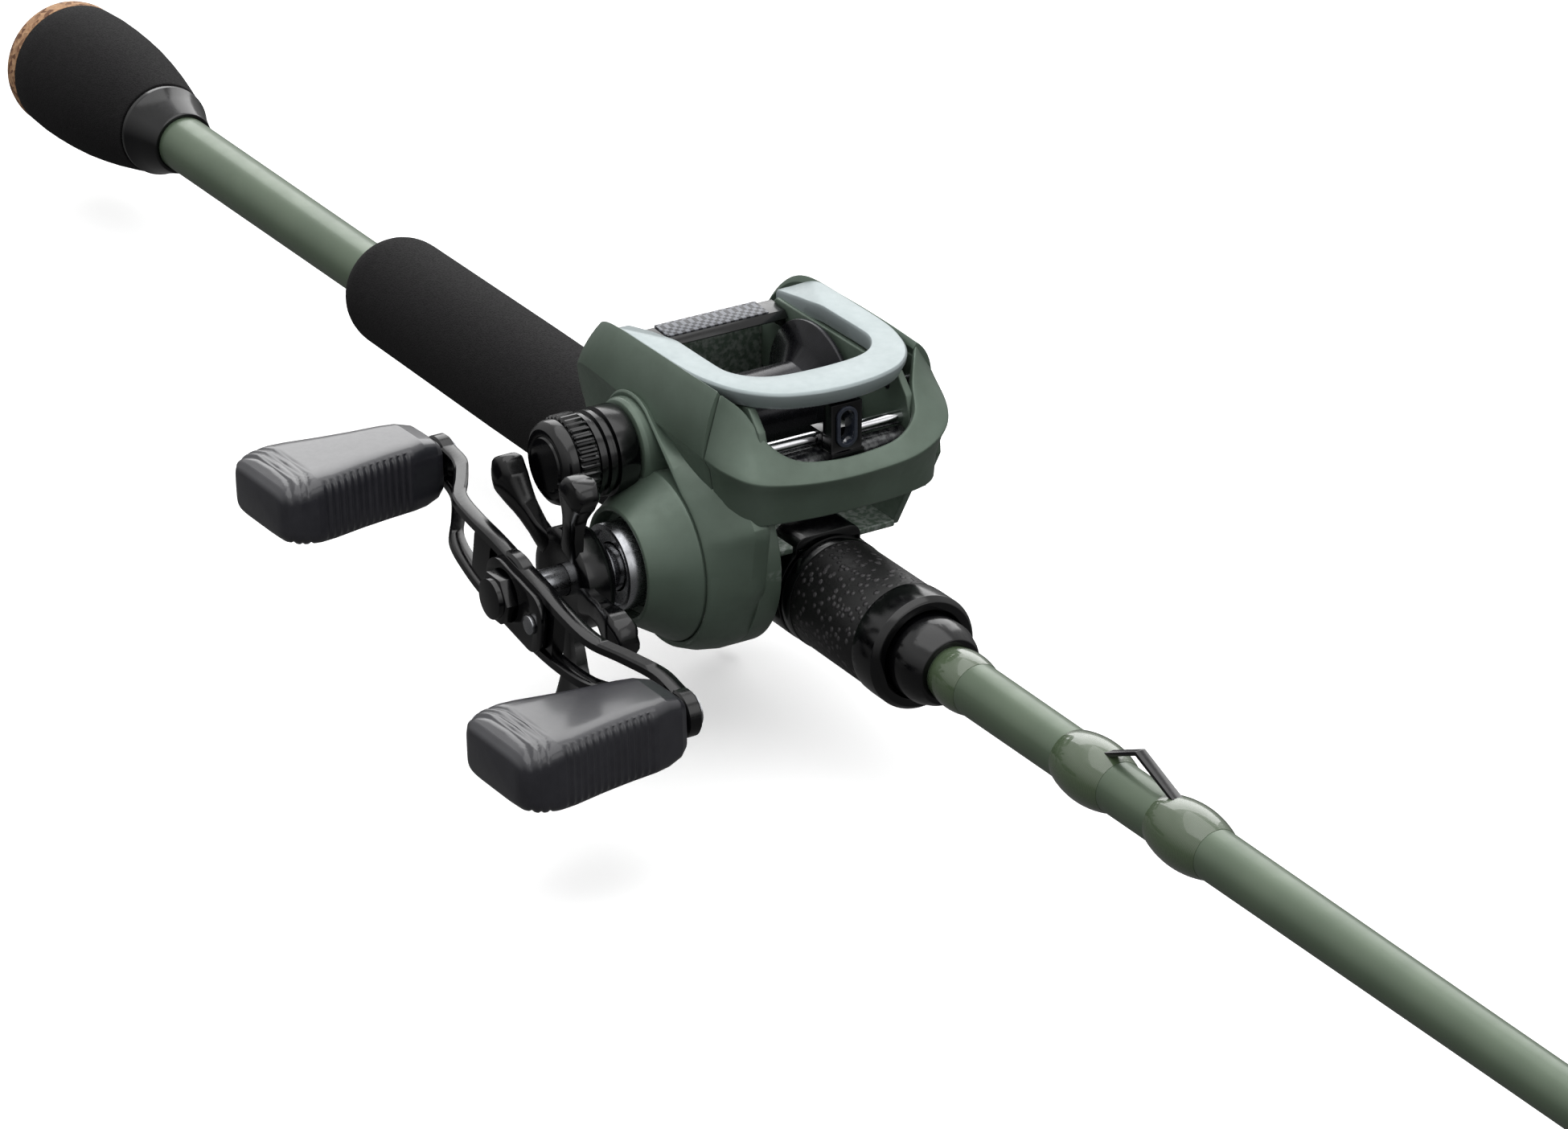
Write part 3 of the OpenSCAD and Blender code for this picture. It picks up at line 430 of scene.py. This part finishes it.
noseShell = [
    [(12.35, -21.9, 44.5), (12.4, -25.6, 31.8), (12.4, -24.3, 29.4), (12.4, -23.2, 16.4)],
    [(15.2, -18.4, 41), (17.6, -24.5, 30.8), (17.3, -23.5, 28.8), (16.4, -22, 18.8)],
    [(19.6, -15.6, 35.4), (22.9, -21, 29.5), (22.4, -20.4, 27.8), (21.2, -18.8, 19.6)],
    [(22.2, -11, 32), (25.2, -14.2, 28.5), (24.5, -13.7, 27), (22.8, -12.8, 19.6)],
    [(23.4, -4, 30.9), (26.6, -5, 28), (25.8, -4.9, 26.6), (23.9, -4.8, 19.6)],
    [(23.6, 4, 30.9), (26.9, 5, 28.1), (26.1, 4.9, 26.6), (24.1, 4.8, 19.6)],
    [(23.2, 11, 31.9), (26.5, 14, 29), (25.8, 13.6, 27.4), (23.5, 12.9, 19.6)],
    [(21.4, 15.7, 35), (24.7, 20.6, 31.4), (24, 20, 29.6), (21.9, 18.8, 19.6)],
    [(17.2, 18, 39.4), (20.4, 24.1, 34.2), (20, 23.3, 32.2), (18.6, 22.2, 19.4)],
    [(12.35, 21.9, 44.4), (12.4, 25.7, 38.1), (12.4, 24.7, 35.5), (12.4, 23.8, 16.2)],
]
palmShell = [
    [(12.2, 22.2, 44.8), (12.2, 25.7, 38.2), (12.2, 24.7, 35.6), (12.2, 23.8, 16)],
    [(0, 22.5, 45), (0, 26.1, 38.6), (0, 25.1, 36), (0, 24.2, 12.8)],
    [(-14, 22.5, 45), (-14, 26.2, 38.6), (-14, 25.1, 36), (-14, 24.2, 12.5)],
    [(-28, 22.3, 44.5), (-28, 26, 37.4), (-28, 25, 34.6), (-28, 24.2, 13)],
    [(-34.6, 20.6, 40.6), (-35.2, 25, 34), (-35, 24.2, 31), (-34, 23.4, 15.6)],
    [(-37.2, 17, 33), (-38.2, 23, 29), (-37.8, 22.4, 26), (-35.5, 22, 19)],
]
shellSizes = {"wall": 1.3, "crown": 1.3, "steps": 9, "ridge": 0.45, "gearRoom": 19.7}
frameSizes = {"wallIn": 15.6, "wallOut": 17.3, "floorHalf": 15.8, "noseCrown": 0.1, "edge": 0.4}


def shellLoops(stations, perStation, crown):
    lines = [curve([s[i] for s in stations], perStation * (len(stations) - 1)) for i in range(4)]
    wall = shellSizes["wall"]
    loops = []
    for top, ridge, under, bottom in zip(*lines):
        centre = Vector((-6, 0, 0))
        out = Vector((ridge.x - centre.x, ridge.y, 0))
        out = Vector((max(out.x - 18, 0) * 2.2, out.y, 0)).normalized()
        bulge = (top + ridge) / 2 + (out + Vector((0, 0, 0.8))) * crown
        face = [top * (1 - t) ** 2 + bulge * 2 * t * (1 - t) + ridge * t * t
                for t in [i / 7 for i in range(8)]]
        waist = (under + bottom) / 2 - out * 0.5
        inner = [bottom - out * wall, (under + ridge) / 2 - out * (wall + 0.6), top - out * wall * 0.6
                 - Vector((0, 0, wall))]
        loops.append(face + [under, waist, bottom] + inner)
    return loops


def shellInto(bm, stations, crown):
    loft(bm, shellLoops(stations, shellSizes["steps"], crown))


def makeHandlePlate():
    bm = bmesh.new()
    shellInto(bm, handleShell, shellSizes["crown"])
    # gear housing: flared band from the crank's round face out to a cornered edge
    rim = arc(crank, 18.5, -130, 62, 40) + arc(spoolAt, 10.6, 62, 165, 20) + arc(crank, 18.5, 165, 230, 12)
    corners = [(19.9, 5.2), (22, 18.6), (15, 28), (0, 31), (-14, 32.5), (-26, 31.5), (-31, 26)]
    edge = arc(crank, 20.4, -150, -40, 24) + corners + arc(crank, 20.4, 168, 210, 8)
    turns = [math.radians(-5.2 + 360 * i / 120) for i in range(120)]

    def ring(far, y):
        return [(crank[0] + r * math.cos(a), y, crank[1] + r * math.sin(a)) for r, a in zip(far, turns)]

    def ringAt(outline, y, inset=0.0):
        return ring([reach(outline, crank, a) - inset for a in turns], y)

    def between(y, share):     # part way from the edge to the rim, and never inside the gear
        far = [reach(edge, crank, a) * (1 - share) + reach(rim, crank, a) * share for a in turns]
        return ring([max(r, shellSizes["gearRoom"]) for r in far], y)

    loft(bm, [ringAt(edge, -16.4, 0.4), ringAt(edge, -17.4), between(-20, 0), between(-23.9, 0.55),
              ringAt(rim, -27), ringAt(rim, -27.4, 0.5), ringAt(rim, -27.2, 1.2), ringAt(rim, -24.4, 1.8)])
    turned(bm, [(-24, 16.9), (-27.6, 17.1), (-28.2, 16.7), (-28.8, 16.2), (-35.4, 12.1), (-36.4, 11.6),
                (-36.6, 11.1), (-36.4, 10.6), (-35, 10.3), (-33.4, 10.2), (-33.2, 8.8), (-24, 8.8),
                (-24, 16.9)], "Y", crank, 120)
    turned(bm, [(-23, 9.4), (-28.6, 9.4), (-29.4, 9.0), (-29.6, 8.2), (-29.6, 7.4), (-23, 7.4), (-23, 9.4)],
           "Y", spoolAt, 80)
    piece("handlePlate", bm, "rod", "body_paint", ("handle_side_plate",), edge=shellSizes["ridge"],
          steps=3, angle=24)


def makePalmPlate():
    bm = bmesh.new()
    shellInto(bm, palmShell, shellSizes["crown"])
    turned(bm, [(22, 15.5), (25.2, 15), (26.6, 14.4), (27.4, 13.6), (27.6, 12.6), (27.6, 10.2),
                (27.2, 9.9), (24.4, 9.9), (22, 9.9), (22, 15.5)], "Y", spoolAt, 96)
    slab(bm, [(-36, 18), (-37, 28), (-33, 37), (-26, 42), (12, 42), (18, 34), (19, 24), (14, 15),
              (-27, 12.6)], 21.4, 23.6)
    piece("palmPlate", bm, "rod", "body_paint", ("palm_side_plate",), edge=shellSizes["ridge"],
          steps=3, angle=24)


def makeFrame():
    bm = bmesh.new()
    f = frameSizes
    half = f["floorHalf"]
    shellInto(bm, noseShell, f["noseCrown"])
    wall = [(-35.5, 20), (-36.5, 27), (-34, 35.5), (-28, 41.2), (15, 41.2), (18.6, 37.5), (20.6, 31),
            (20.4, 20), (14, 8.7), (-27, 8.7)]
    for low, high in ((-f["wallOut"], -f["wallIn"]), (f["wallIn"], f["wallOut"])):
        slab(bm, wall, low, high)
    slab(bm, [(-27, -half), (-27, half), (15, half), (15, -half)], 8.7, 10.1, "Z")
    slab(bm, [(-36, -half), (-36, half), (-33.4, half), (-33.4, -half)], 20, 34, "Z")
    turned(bm, [(-f["wallOut"], 20.4), (-12.4, 20.4), (-12.4, 4.2), (-f["wallOut"], 4.2),
                (-f["wallOut"], 20.4)], "Y", crank, 96)
    piece("reelFrame", bm, "rod", "body_paint", ("reel_frame",), edge=f["edge"], steps=3, angle=26)


hoodSizes = {"top": 45, "low": 41.4, "lip": 0.45, "under": 1.3, "rearDrop": 3.2, "rearFrom": -22}
hoodHalf = [(-29.6, 19.4), (-27.5, 21.9), (-24, 22.6), (-13, 22.7), (1.4, 22.5), (9, 21), (14, 18.9),
            (17.8, 16), (20.6, 12.2), (22.4, 7), (23.1, 2)]
hoodMouth = [(-29.6, 16.6), (-20, 16.2), (-9, 16.2), (2, 16.1), (6, 15.4), (9.2, 13.4), (11.2, 10.6),
             (12.2, 7), (12.6, 2)]


def makeHood():
    outer = curve([(x, y, 0) for x, y in hoodHalf] + [(x, -y, 0) for x, y in reversed(hoodHalf)], 96)
    inner = curve([(x, y, 0) for x, y in hoodMouth] + [(x, -y, 0) for x, y in reversed(hoodMouth)], 96)
    h = hoodSizes
    bm = bmesh.new()
    loops = []
    for o, i in zip(outer, inner):
        way = (o - i).normalized()
        top = h["top"] - h["rearDrop"] * max(0, (h["rearFrom"] - o.x) / 8) ** 2
        low = h["low"] - h["top"] + top
        corners = [(o - way * h["lip"], top), (o, top - 0.5), (o - way * 0.2, top - 1.5),
                   (o - way * h["under"], low), (i + way * 0.5, low), (i, low + 0.5), (i, top - 0.6),
                   (i + way * 0.35, top)]
        loops.append([(p.x, p.y, z) for p, z in corners])
    loft(bm, loops)
    piece("topHood", bm, "rod", "hood_paint", ("top_hood",), edge=0.16, steps=2, angle=34)


makeHandlePlate()
makePalmPlate()
makeFrame()
makeHood()
print("reel body made")


# crank handle, star and knobs
armSizes = {"turn": -10, "knobAt": 46.5, "rail": (2.3, 3.2), "web": (11.6, 2.6), "corner": 0.32, "steps": 36}
starSizes = {"angles": [-77, -5, 67, 139, 211], "near": -47.05, "far": -50.4, "tip": -52.6, "root": 7,
             "arm": 20, "steps": 24}


def aboutCrank(bm, degrees, verts=None):
    turn = Matrix.Rotation(math.radians(-degrees), 4, "Y")
    bmesh.ops.rotate(bm, verts=verts or bm.verts, cent=(0, 0, 0), matrix=turn.to_3x3())
    bmesh.ops.translate(bm, verts=verts or bm.verts, vec=(crank[0], 0, crank[1]))


def railInto(bm, path, width, thick):      # flat bar along a path of (out, up, y) in the handle's own plane
    corner, last = armSizes["corner"], armSizes["steps"]
    points = curve([(u, y, v) for u, v, y in path], last)
    loops = []
    for i, p in enumerate(points):
        ahead = points[min(i + 1, last)] - points[max(i - 1, 0)]
        side = Vector((-ahead.z, 0, ahead.x)).normalized() * width / 2
        up = Vector((0, thick / 2, 0))
        ring = []
        for a, b in ((1, 1 - corner), (1 - corner, 1), (corner - 1, 1), (-1, 1 - corner), (-1, corner - 1),
                     (corner - 1, -1), (1 - corner, -1), (1, corner - 1)):
            ring.append(p + side * a + up * b)
        loops.append(ring)
    loft(bm, loops)


def makeHandle():
    bm = bmesh.new()
    for side in (1, -1):
        for lane in (1, -1):
            path = [(0, 6.2 * lane, -58.5), (9, 6.3 * lane, -58.5), (18, 5.6 * lane, -58.2),
                    (26, 4.8 * lane, -57), (32, 4.1 * lane, -53.4), (38, 3.4 * lane, -50.2),
                    (43, 3.0 * lane, -49.6), (47, 2.6 * lane, -49.5)]
            railInto(bm, [(u * side, v, y) for u, v, y in path], *armSizes["rail"])
        path = [(9, 0, -58.4), (13.5, 0, -58.3), (15.5, 0, -58.2)]
        railInto(bm, [(u * side, v, y) for u, v, y in path], *armSizes["web"])
        turned(bm, [(-51.1, 2.1), (-51.1, 4.2), (-50.7, 4.6), (-48.4, 4.6), (-48.0, 4.2), (-48.0, 2.1),
                    (-51.1, 2.1)], "Y", (side * armSizes["knobAt"], 0), 48)
    turned(bm, [(-60, 3.1), (-60, 7.6), (-59.5, 8.2), (-57.5, 8.2), (-57, 7.6), (-57, 3.1), (-60, 3.1)],
           "Y", (0, 0), 72)
    aboutCrank(bm, armSizes["turn"])
    piece("handleArm", bm, "handle", "black_alloy", ("handle_arm",))


def makeStar():
    bm = bmesh.new()
    s = starSizes
    for degrees in s["angles"]:
        start = set(bm.verts)
        loops = []
        for i in range(s["steps"] + 1):
            t = i / s["steps"]
            u = s["root"] + s["arm"] * t
            wide = eased([(0, 3.4), (0.25, 2.3), (0.5, 2.5), (0.75, 3.9), (0.9, 3.9), (0.97, 2.8),
                          (1, 1.2)], t)
            lean = 1.5 * math.sin(t * math.pi) - 0.5
            far = eased([(0, s["far"] + 1), (0.4, s["far"]), (0.8, s["tip"]), (1, s["tip"] + 0.5)], t)
            near = s["near"] if t < 0.95 else s["near"] - 0.5
            mid, deep = (near + far) / 2, (near - far) / 2
            loops.append([(u, mid + deep * b, lean + wide * a) for a, b in
                          ((1, 0.62), (0.8, 0.9), (0.5, 1), (-0.5, 1), (-0.8, 0.9), (-1, 0.62),
                           (-1, -0.62), (-0.8, -0.9), (-0.5, -1), (0.5, -1), (0.8, -0.9), (1, -0.62))])
        loft(bm, loops)
        aboutCrank(bm, degrees, [v for v in bm.verts if v not in start])
    turned(bm, [(-48.6, 3.15), (-49.4, 7.6), (-49.2, 9.4), (-48.4, 10.2), (-44.4, 10.2), (-42.4, 9.2),
                (-41.9, 8.4), (-41.9, 3.15), (-48.6, 3.15)], "Y", crank, 96)
    piece("starDrag", bm, "star", "black_alloy", ("star_drag",), crisp=42)


knobSizes = {"start": -51.6, "length": 38, "half": 7, "tilt": -2, "square": 0.34, "steps": 190, "sides": 56,
             "ribs": 13, "ribDeep": 0.32, "ribFrom": 9, "ribTo": 29.5, "bands": (31.4, 33.2, 35),
             "bandDeep": 0.34}


def makeKnob(name, side):
    k = knobSizes
    widths = [(0, 4.6), (0.6, 5.6), (2, 6.5), (8, 8.4), (14, 9.2), (20, 10.3), (27, 12), (31, 12.4),
              (34.6, 12.2), (36.8, 11.2), (37.7, 9.9), (38, 8.6)]
    depths = [(0, 3.6), (0.6, 5), (2, 6.2), (5, k["half"]), (30, k["half"]), (34, 6.5), (36.6, 5.5),
              (37.7, 4.5), (38, 3.7)]
    loops = []
    for i in range(k["steps"] + 1):
        t = k["length"] * i / k["steps"]
        wide, deep = eased(widths, t), eased(depths, t)
        rib = 0
        if k["ribFrom"] < t < k["ribTo"]:
            along = (t - k["ribFrom"]) / (k["ribTo"] - k["ribFrom"])
            rib = k["ribDeep"] * (0.5 - 0.5 * math.cos(math.tau * k["ribs"] * along)) ** 0.7
        ring = []
        for j in range(k["sides"]):
            a = math.tau * j / k["sides"]
            c, d = math.cos(a), math.sin(a)
            u = wide * math.copysign(abs(c) ** k["square"], c)
            v = deep * math.copysign(abs(d) ** k["square"], d)
            if abs(c) > 0.72:
                u -= math.copysign(rib, c)
            for centre in k["bands"]:
                bow = centre + 0.02 * u * u
                if abs(d) > 0.3:
                    v -= math.copysign(k["bandDeep"] * math.exp(-((t - bow + 1.4) / 0.32) ** 2), d)
            ring.append((u, k["start"] - t, v))
        loops.append(ring)
    bm = bmesh.new()
    loft(bm, loops)
    turn = Matrix.Rotation(math.radians(armSizes["turn"] + k["tilt"]), 3, "Y")
    bmesh.ops.rotate(bm, verts=bm.verts, cent=(0, 0, 0), matrix=turn)
    bmesh.ops.translate(bm, verts=bm.verts, vec=(side * armSizes["knobAt"], 0, 0))
    aboutCrank(bm, armSizes["turn"])
    node = "knob_a" if side < 0 else "knob_b"
    piece(name, bm, node, "knob_rubber", (node,), crisp=50)


makeHandle()
makeStar()
makeKnob("knobA", -1)
makeKnob("knobB", 1)
print("handle, star and knobs made")


# wraps, tension cap, line guide bar and thumb pad
guideAt = {860: 17.5, 1105: 13.5, 1310: 11.5, 1480: 10}    # place along the rod, ring height
wrapSizes = {"half": 7, "build": 0.9, "first": 1625, "last": 2034, "count": 5, "shrink": 0.84}
capSizes = {"teeth": 36, "toothDeep": 0.22, "from": -42.8, "to": -38.8}


def makeWraps():
    taper, w = blankSizes["taper"], wrapSizes
    spans = [(391.6, 400, 0.6), (430.5, 445, 1.3), (459, 474, 1.3)]
    for x, high in guideAt.items():
        for side in (-1, 1):
            mid = x + side * (high * 0.8 + w["half"])
            spans.append((mid - w["half"], mid + w["half"], w["build"]))
    for i in range(w["count"]):
        share = (1 - w["shrink"] ** i) / (1 - w["shrink"] ** w["count"])
        x = w["first"] + (w["last"] - w["first"]) * share
        spans.append((x - 12.5, x - 2.5, 0.8))
    spans.append((2110, 2122, 0.5))
    bm = bmesh.new()
    for start, stop, build in spans:
        steps = [i / 16 for i in range(17)]
        out = [(start + (stop - start) * t, eased(taper, start + (stop - start) * t) + 0.06
                + build * math.sin(math.pi * t) ** 0.8) for t in steps]
        inside = eased(taper, stop) - 0.1
        turned(bm, out + [(stop, inside), (start, inside), out[0]], steps=56)
    piece("threadWraps", bm, "rod", "thread_epoxy", ("thread_wraps",), atReel=False, crisp=60)


def makeTensionCap():
    k = capSizes
    bm = bmesh.new()
    turned(bm, [(-46.3, 0), (-46.3, 5.2), (-45.9, 5.5), (-46.1, 5.8), (-46.1, 6.9), (-45.4, 7.9),
                (-44.6, 8.3), (-43.2, 8.3), (-42.9, 8.0), (-38.6, 8.0), (-38.4, 8.35), (-37.6, 8.35),
                (-37.3, 7.8), (-36.7, 7.8), (-36.4, 8.5), (-35.5, 8.5), (-35.2, 8.0), (-34.7, 8.0),
                (-34.4, 8.8), (-31, 8.8), (-30.2, 8.6), (-30, 8.2), (-30, 7.3), (-35.8, 7.3),
                (-36, 7.0), (-36, 0)], "Y", spoolAt, 96)
    rings = []
    for y, low in ((k["from"], 0.3), (k["from"] + 0.3, 0), (k["to"] - 0.3, 0), (k["to"], 0.3)):
        ring = []
        for j in range(k["teeth"] * 4):
            a = math.tau * j / (k["teeth"] * 4)
            r = 8.7 - low + k["toothDeep"] * (1 if j % 4 in (0, 1) else -1)
            ring.append((spoolAt[0] + r * math.cos(a), y, spoolAt[1] + r * math.sin(a)))
        rings.append(ring)
    loft(bm, rings)
    piece("tensionCap", bm, "tension_cap", "gloss_black", ("tension_cap",), crisp=34)


barSizes = {"radius": 1.3, "reach": 17.2, "tubeBore": 2.6, "tubeRadius": 3.1, "tubeReach": 15.3}


def makeLevelBar():
    b = barSizes
    end, tube = b["reach"], b["tubeReach"]
    bm = bmesh.new()
    turned(bm, [(-end, 0), (-end, b["radius"]), (end, b["radius"]), (end, 0)], "Y", barAt, 48)
    piece("levelBar", bm, "rod", "chrome", ("guide_bars",))
    bm = bmesh.new()
    turned(bm, [(-tube, b["tubeBore"]), (-tube, b["tubeRadius"]), (tube, b["tubeRadius"]),
                (tube, b["tubeBore"]), (-tube, b["tubeBore"])], "Y", wormAt, 64)
    piece("wormTube", bm, "rod", "spool_alloy")


def makeThumbPad():
    bm = bmesh.new()
    slab(bm, [(-29.3, 40.55), (-24, 40.15), (-23.9, 40.6), (-29.2, 41.05)], -11.5, 11.5)
    piece("thumbPad", bm, "thumb_bar", "pad_squares", edge=0.15, slot="gloss_black")


makeWraps()
makeTensionCap()
makeLevelBar()
makeThumbPad()
print("wraps, cap, bar and pad made")


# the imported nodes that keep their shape, with eased corners
eases = {
    "reel_seat": ("gloss_black", 0.25), "seat_hood": ("gloss_black", 0.3),
    "nut_collar": ("gloss_black", 0.2), "seat_nut": ("gloss_black", 0.15),
    "nut_sleeve": ("nut_texture", 0.08), "hook_keeper": ("gloss_black", 0.15),
    "reel_foot": ("gloss_black", 0.2), "brake_dial": ("gloss_black", 0.12),
    "line_guide": ("gloss_black", 0.2), "line_guide_eye": ("guide_ceramic", 0.1),
    "thumb_bar": ("gloss_black", 0.3), "spool": ("spool_alloy", 0.15),
    "handle_nut": ("black_alloy", 0.25), "nut_retainer": ("black_alloy", 0.2),
    "retainer_screw": ("steel", 0.12), "bearing_cover": ("steel", 0.12),
}
plain = {
    "guide_1": "guide_metal", "guide_2": "guide_metal", "guide_3": "guide_metal",
    "guide_4": "guide_metal", "running_guides": "guide_metal", "guide_rings": "guide_ceramic",
    "tip_top": "guide_metal", "plate_screws": "steel", "brake_magnets": "steel", "pawl": "steel",
    "worm_shaft": "steel", "worm_gear": "acetal", "idler_gear": "acetal", "spool_shaft": "steel",
    "ball_bearings": "steel", "pinion_gear": "brass", "pinion_yoke": "acetal", "yoke_springs": "steel",
    "clutch_cam": "steel", "drive_gear": "brass", "levelwind_gear": "acetal",
    "drag_washers": "carbon_washer", "drive_shaft": "steel", "one_way_bearing": "steel",
    "clutch_sleeve": "chrome", "drag_springs": "steel", "knob_spindles": "steel",
    "knob_bushings": "acetal",
}
bodyOf = {n: b for b, names in frame["record"]["behaviour"]["bodies"].items() for n in names}
for node, (finish, width) in eases.items():
    softened(node, bodyOf[node], finish, width)
for node, finish in plain.items():
    mesh = frame["nodes"][node].data
    mesh.materials.clear()
    mesh.materials.append(finishes[finish])
print("packed nodes finished,", len(eases) + len(plain))


# stage, light and camera
studio = {"floorDrop": 0.002, "floorSize": 4, "floorGlow": 0.3, "skyHigh": 0.85, "skyLow": 0.12,
          "fadeFrom": -0.2, "fadeTo": 0.5, "back": 11, "top": 7, "side": 1.2}


def makeStage():
    floor = bmesh.new()
    bmesh.ops.create_grid(floor, x_segments=2, y_segments=2, size=studio["floorSize"])
    bmesh.ops.translate(floor, verts=floor.verts, vec=(1, 0, cadBox[0][2] - studio["floorDrop"]))
    mesh = bpy.data.meshes.new("studioFloor")
    floor.to_mesh(mesh)
    floor.free()
    w = Wiring("floor_paper")
    w.link(w.blend(w.spread(w.noise(3), 0, 1), tone(246, 246, 246), tone(250, 250, 250)),
           w.shader.inputs["Base Color"])
    w.shader.inputs["Roughness"].default_value = 0.9
    w.shader.inputs["Emission Color"].default_value = (1, 1, 1, 1)
    w.shader.inputs["Emission Strength"].default_value = studio["floorGlow"]
    mesh.materials.append(w.mat)
    obj = bpy.data.objects.new("studioFloor", mesh)
    obj.visible_glossy = False
    obj.visible_diffuse = False
    bpy.context.scene.collection.objects.link(obj)


def softbox(name, at, towards, size, power):
    lamp = bpy.data.lights.new(name, "AREA")
    lamp.shape = "RECTANGLE"
    lamp.size, lamp.size_y = size
    lamp.energy = power
    obj = bpy.data.objects.new(name, lamp)
    turn = (Vector(towards) - Vector(at)).to_track_quat("-Z", "Y")
    obj.matrix_world = Matrix.Translation(at) @ turn.to_matrix().to_4x4()
    bpy.context.scene.collection.objects.link(obj)


def makeLights():
    world = bpy.data.worlds.new("studioAir")
    world.use_nodes = True
    tree = world.node_tree
    air = tree.nodes["Background"]
    air.inputs["Color"].default_value = (1, 1, 1, 1)
    sky = tree.nodes.new("ShaderNodeTexCoord")
    split = tree.nodes.new("ShaderNodeSeparateXYZ")
    fade = tree.nodes.new("ShaderNodeMapRange")        # bright overhead, dim from below
    fade.inputs["From Min"].default_value = studio["fadeFrom"]
    fade.inputs["From Max"].default_value = studio["fadeTo"]
    fade.inputs["To Min"].default_value = studio["skyLow"]
    fade.inputs["To Max"].default_value = studio["skyHigh"]
    tree.links.new(sky.outputs["Generated"], split.inputs["Vector"])
    tree.links.new(split.outputs["Z"], fade.inputs["Value"])
    tree.links.new(fade.outputs["Result"], air.inputs["Strength"])
    bpy.context.scene.world = world
    aim = (reelX * 0.001, 0, 0.02)
    softbox("backBox", (-0.75, 0.75, 0.75), aim, (1.6, 1.0), studio["back"])
    softbox("topBox", (0.35, -0.05, 1.0), aim, (1.3, 1.3), studio["top"])
    softbox("sideBox", (1.3, 0.3, 0.6), aim, (0.7, 0.7), studio["side"])


def makeCamera():
    view = {"distance": 0.984, "focal": 6300, "width": 1950, "lift": 9}
    back = Vector((0.7648, -0.4779, 0.4321)).normalized()
    right = Vector((0, 0, 1)).cross(back).normalized()
    up = back.cross(right)
    lens = bpy.data.cameras.new("studioCamera")
    lens.sensor_width = 36
    lens.lens = view["focal"] * lens.sensor_width / view["width"]
    lens.clip_start, lens.clip_end = 0.01, 50
    obj = bpy.data.objects.new("studioCamera", lens)
    drop = view["distance"] * view["lift"] / view["focal"]
    spot = Vector((reelX * 0.001, 0, 0)) + back * view["distance"] - up * drop
    turn = Matrix((right, up, back)).transposed().to_4x4()
    obj.matrix_world = Matrix.Translation(spot) @ turn
    bpy.context.scene.collection.objects.link(obj)
    bpy.context.scene.camera = obj


makeStage()
makeLights()
makeCamera()
bpy.context.scene.view_settings.view_transform = "Standard"
print("stage, lights and camera set")
